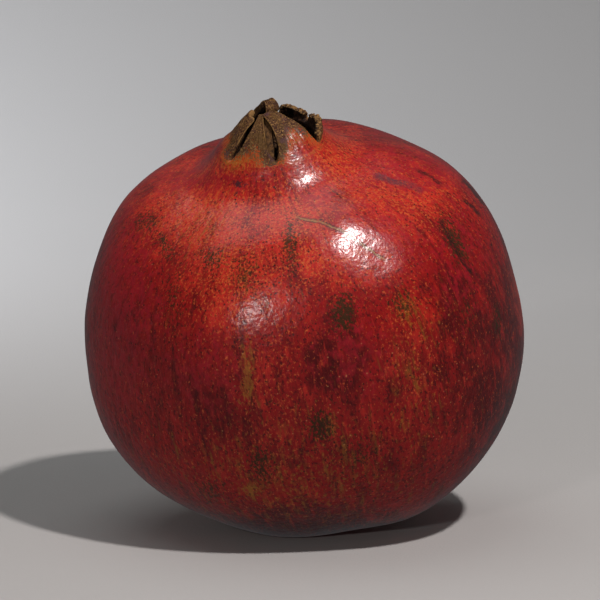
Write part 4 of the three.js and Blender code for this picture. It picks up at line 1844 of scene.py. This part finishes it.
    def relief(self, tree: Tree, dots: Socket, flecks: Socket) -> tuple[Socket, Socket]:
        """A fine grain and soft pebbles break up the highlights. Dried skin is coarser.

        Args:
            tree: the material's nodes.
            dots: coordinates for round spots.
            flecks: coordinates for spots that are a little longer from stalk to crown.

        Returns:
            The relief of the skin, and the smoother one of the wax on it.
        """
        dry = add_node(tree, "ShaderNodeAttribute", attribute_name="dry").outputs["Fac"]
        grain = add_node(
            tree, "ShaderNodeTexNoise", {"Vector": flecks, "Scale": 1 / 0.45, "Detail": 2, "Roughness": 0.5}
        ).outputs[0]
        pebbles = add_node(
            tree, "ShaderNodeTexNoise", {"Vector": dots, "Scale": 1 / 1.8, "Detail": 2, "Roughness": 0.5}
        ).outputs[0]
        grain_rise = add_node(
            tree,
            "ShaderNodeMath",
            {0: dry, 1: self.dried_grain_rise, 2: self.grain_rise},
            operation="MULTIPLY_ADD",
        ).outputs[0]
        grain_height = add_node(
            tree, "ShaderNodeMath", {0: grain, 1: grain_rise}, operation="MULTIPLY"
        ).outputs[0]
        height = add_node(
            tree,
            "ShaderNodeMath",
            {0: pebbles, 1: self.pebble_rise, 2: grain_height},
            operation="MULTIPLY_ADD",
        ).outputs[0]
        on_skin, on_wax = (
            add_node(tree, "ShaderNodeBump", {"Strength": strength, "Distance": MM, "Height": height})
            for strength in (1.0, self.relief_in_wax)
        )
        return on_skin.outputs[0], on_wax.outputs[0]


@dataclass(frozen=True)
class DryFibre:
    """Withered plant fibre: dull and brittle, mottled between a dark and a light brown."""

    name: str
    dark: str
    light: str
    grains_per_mm: float = 1.4
    grain_depth: float = 0.2

    def material(self) -> bpy.types.Material:
        """Makes the material.

        Returns:
            The material.
        """
        material, tree = new_material(self.name)
        source = add_node(tree, "ShaderNodeTexCoord")
        grain = add_node(
            tree,
            "ShaderNodeTexNoise",
            {
                "Vector": source.outputs["Object"],
                "Scale": self.grains_per_mm / MM,
                "Detail": 3,
                "Roughness": 0.7,
            },
        ).outputs[0]
        share = add_node(
            tree, "ShaderNodeMapRange", {"Value": grain, "From Min": 0.35, "From Max": 0.65}
        ).outputs[0]
        colour = add_node(
            tree, "ShaderNodeMix", {0: share, 6: linear(self.dark), 7: linear(self.light)}, data_type="RGBA"
        ).outputs[2]
        bump = add_node(
            tree, "ShaderNodeBump", {"Strength": 0.8, "Distance": self.grain_depth * MM, "Height": grain}
        ).outputs[0]
        shader = add_node(
            tree,
            "ShaderNodeBsdfPrincipled",
            {"Base Color": colour, "Roughness": 0.8, "Specular IOR Level": 0.2, "Normal": bump},
        )
        add_node(tree, "ShaderNodeOutputMaterial", {"Surface": shader.outputs["BSDF"]})
        return material


@dataclass(frozen=True)
class PaperSweep:
    """Matt pale grey background paper with a fine tooth."""

    colour: str = "#b9b9b7"
    grains_per_mm: float = 1.5
    tooth_depth: float = 0.2

    def material(self) -> bpy.types.Material:
        """Makes the material.

        Returns:
            The material.
        """
        material, tree = new_material("matt background paper")
        source = add_node(tree, "ShaderNodeTexCoord")
        tooth = add_node(
            tree,
            "ShaderNodeTexNoise",
            {"Vector": source.outputs["Object"], "Scale": self.grains_per_mm / MM, "Detail": 2},
        ).outputs[0]
        bump = add_node(
            tree, "ShaderNodeBump", {"Strength": 0.4, "Distance": self.tooth_depth * MM, "Height": tooth}
        ).outputs[0]
        shader = add_node(
            tree,
            "ShaderNodeBsdfPrincipled",
            {"Base Color": linear(self.colour), "Roughness": 0.9, "Normal": bump},
        )
        add_node(tree, "ShaderNodeOutputMaterial", {"Surface": shader.outputs["BSDF"]})
        return material


# The studio


@dataclass(frozen=True)
class RoundLamp:
    """A round lamp that faces the fruit, some degrees right of the front and above the level."""

    name: str
    azimuth: float
    elevation: float
    distance: float
    size: float
    watts: float
    colour: str = "#fff6f4"


@dataclass(frozen=True)
class SoftLamp:
    """A wide square lamp: the direction that its back faces, and the angle that its light spreads over."""

    name: str
    place: tuple[float, float, float]
    back: tuple[float, float, float]
    size: float
    spread: float
    colour: str
    watts: float


@dataclass
class Studio:
    """A pale paper sweep, one small main lamp, a weak fill from the front left, and soft surroundings."""

    viewpoint: Viewpoint = Viewpoint()
    floor_half: float = 1400.0
    wall_from: float = 450.0
    wall_bend: float = 1300.0
    wall_steps: int = 16
    room_colour: str = "#d9dade"
    room_strength: float = 0.1
    round_lamps: tuple[RoundLamp, ...] = (
        RoundLamp("main lamp", 36.5, 54.6, 914.0, 50.0, 6.1),
        RoundLamp("fill lamp", -21.0, 17.0, 1100.0, 70.0, 1.65),
    )
    soft_lamps: tuple[SoftLamp, ...] = (
        SoftLamp("overhead lamp", (-250, 150, 1150), (-0.2, 0.12, 1.0), 1000, 180, "#ffffff", 2.9),
        SoftLamp("backdrop lamp", (-600, 250, 310), (-0.1, -0.7, 0.7), 400, 150, "#eef0f8", 6.8),
    )

    def build(self, middle: Vector) -> None:
        """Sets up floor, lights and camera round the fruit.

        Args:
            middle: the middle of the resting fruit's body.
        """
        self.lay_sweep()
        for lamp in self.round_lamps:
            self.hang_round_lamp(lamp, middle)
        for lamp in self.soft_lamps:
            self.hang_soft_lamp(lamp)
        self.soften_surroundings()
        self.stand_camera(middle)

    def lay_sweep(self) -> None:
        """Lays the floor and bends its far side up into a wall.

        It is kept out of reflections, which would lay a pale haze over the wax.
        """
        bpy.ops.object.select_all(action="DESELECT")
        bpy.ops.mesh.primitive_plane_add(size=2 * self.floor_half * MM)
        sweep = bpy.context.active_object
        sweep.name = "paper_sweep"
        bpy.ops.object.mode_set(mode="EDIT")
        shape = bmesh.from_edit_mesh(sweep.data)
        for vertex in shape.verts:
            if vertex.co.y > 0:
                vertex.co.y = self.wall_from * MM
        bpy.ops.mesh.select_all(action="DESELECT")
        for edge in shape.edges:
            if all(vertex.co.y > 0 for vertex in edge.verts):
                edge.select_set(True)
        bmesh.update_edit_mesh(sweep.data)
        bpy.ops.mesh.spin(
            steps=self.wall_steps,
            angle=math.radians(-90),
            center=(0, self.wall_from * MM, self.wall_bend * MM),
            axis=(1, 0, 0),
        )
        bpy.ops.mesh.extrude_edges_move(TRANSFORM_OT_translate={"value": (0, 0, self.floor_half * MM)})
        bpy.ops.object.mode_set(mode="OBJECT")
        bpy.ops.object.shade_smooth()
        sweep.data.materials.append(PaperSweep().material())
        sweep.visible_glossy = False

    def hang_round_lamp(self, lamp: RoundLamp, middle: Vector) -> None:
        """Hangs a round lamp that faces the fruit.

        Args:
            lamp: the lamp.
            middle: the fruit's middle.
        """
        side, rise = math.radians(lamp.azimuth), math.radians(lamp.elevation)
        towards = Vector((math.sin(side) * math.cos(rise), -math.cos(side) * math.cos(rise), math.sin(rise)))
        light = self.add_light(lamp, (middle + towards * lamp.distance) * MM, towards)
        light.shape = "DISK"

    def hang_soft_lamp(self, lamp: SoftLamp) -> None:
        """Hangs a wide soft lamp."""
        light = self.add_light(lamp, Vector(lamp.place) * MM, Vector(lamp.back))
        light.spread = math.radians(lamp.spread)

    def add_light(self, lamp: RoundLamp | SoftLamp, place: Vector, back: Vector) -> bpy.types.AreaLight:
        """Adds the light of a lamp.

        Args:
            lamp: the lamp.
            place: where it hangs, in metres.
            back: the direction that its back faces.

        Returns:
            The light.
        """
        bpy.ops.object.light_add(type="AREA", location=place)
        hung = bpy.context.active_object
        hung.name = lamp.name
        hung.rotation_euler = back.to_track_quat("Z", "Y").to_euler()
        hung.data.size = lamp.size * MM
        hung.data.color = linear(lamp.colour)[:3]
        hung.data.energy = lamp.watts
        return hung.data

    def soften_surroundings(self) -> None:
        """Lights the fruit evenly and weakly from all round."""
        world = bpy.data.worlds.new("soft room")
        bpy.context.scene.world = world
        world.use_nodes = True
        world.node_tree.nodes.clear()
        glow = add_node(
            world.node_tree,
            "ShaderNodeBackground",
            {"Color": linear(self.room_colour), "Strength": self.room_strength},
        )
        add_node(world.node_tree, "ShaderNodeOutputWorld", {"Surface": glow.outputs[0]})

    def stand_camera(self, middle: Vector) -> None:
        """Stands the camera where the viewpoint says.

        Args:
            middle: the middle of the resting fruit's body.
        """
        towards = self.viewpoint.axes()[2]
        bpy.ops.object.camera_add(location=self.viewpoint.eye(middle) * MM)
        camera = bpy.context.active_object
        camera.name = "camera"
        camera.rotation_euler = towards.to_track_quat("Z", "Y").to_euler()
        camera.data.lens = self.viewpoint.lens
        camera.data.sensor_width = self.viewpoint.sensor
        bpy.context.scene.camera = camera
        bpy.context.scene.view_settings.view_transform = "Standard"


def main() -> None:
    """Builds each sub-assembly in order, and the studio round them."""
    logging.basicConfig(level=logging.INFO, format="%(message)s")
    rind = Rind()
    middle = rind.middle()
    rind.build()
    Stamens().build(middle)
    InnerFlap().build(middle)
    Studio().build(middle)


if __name__ == "__main__":
    main()
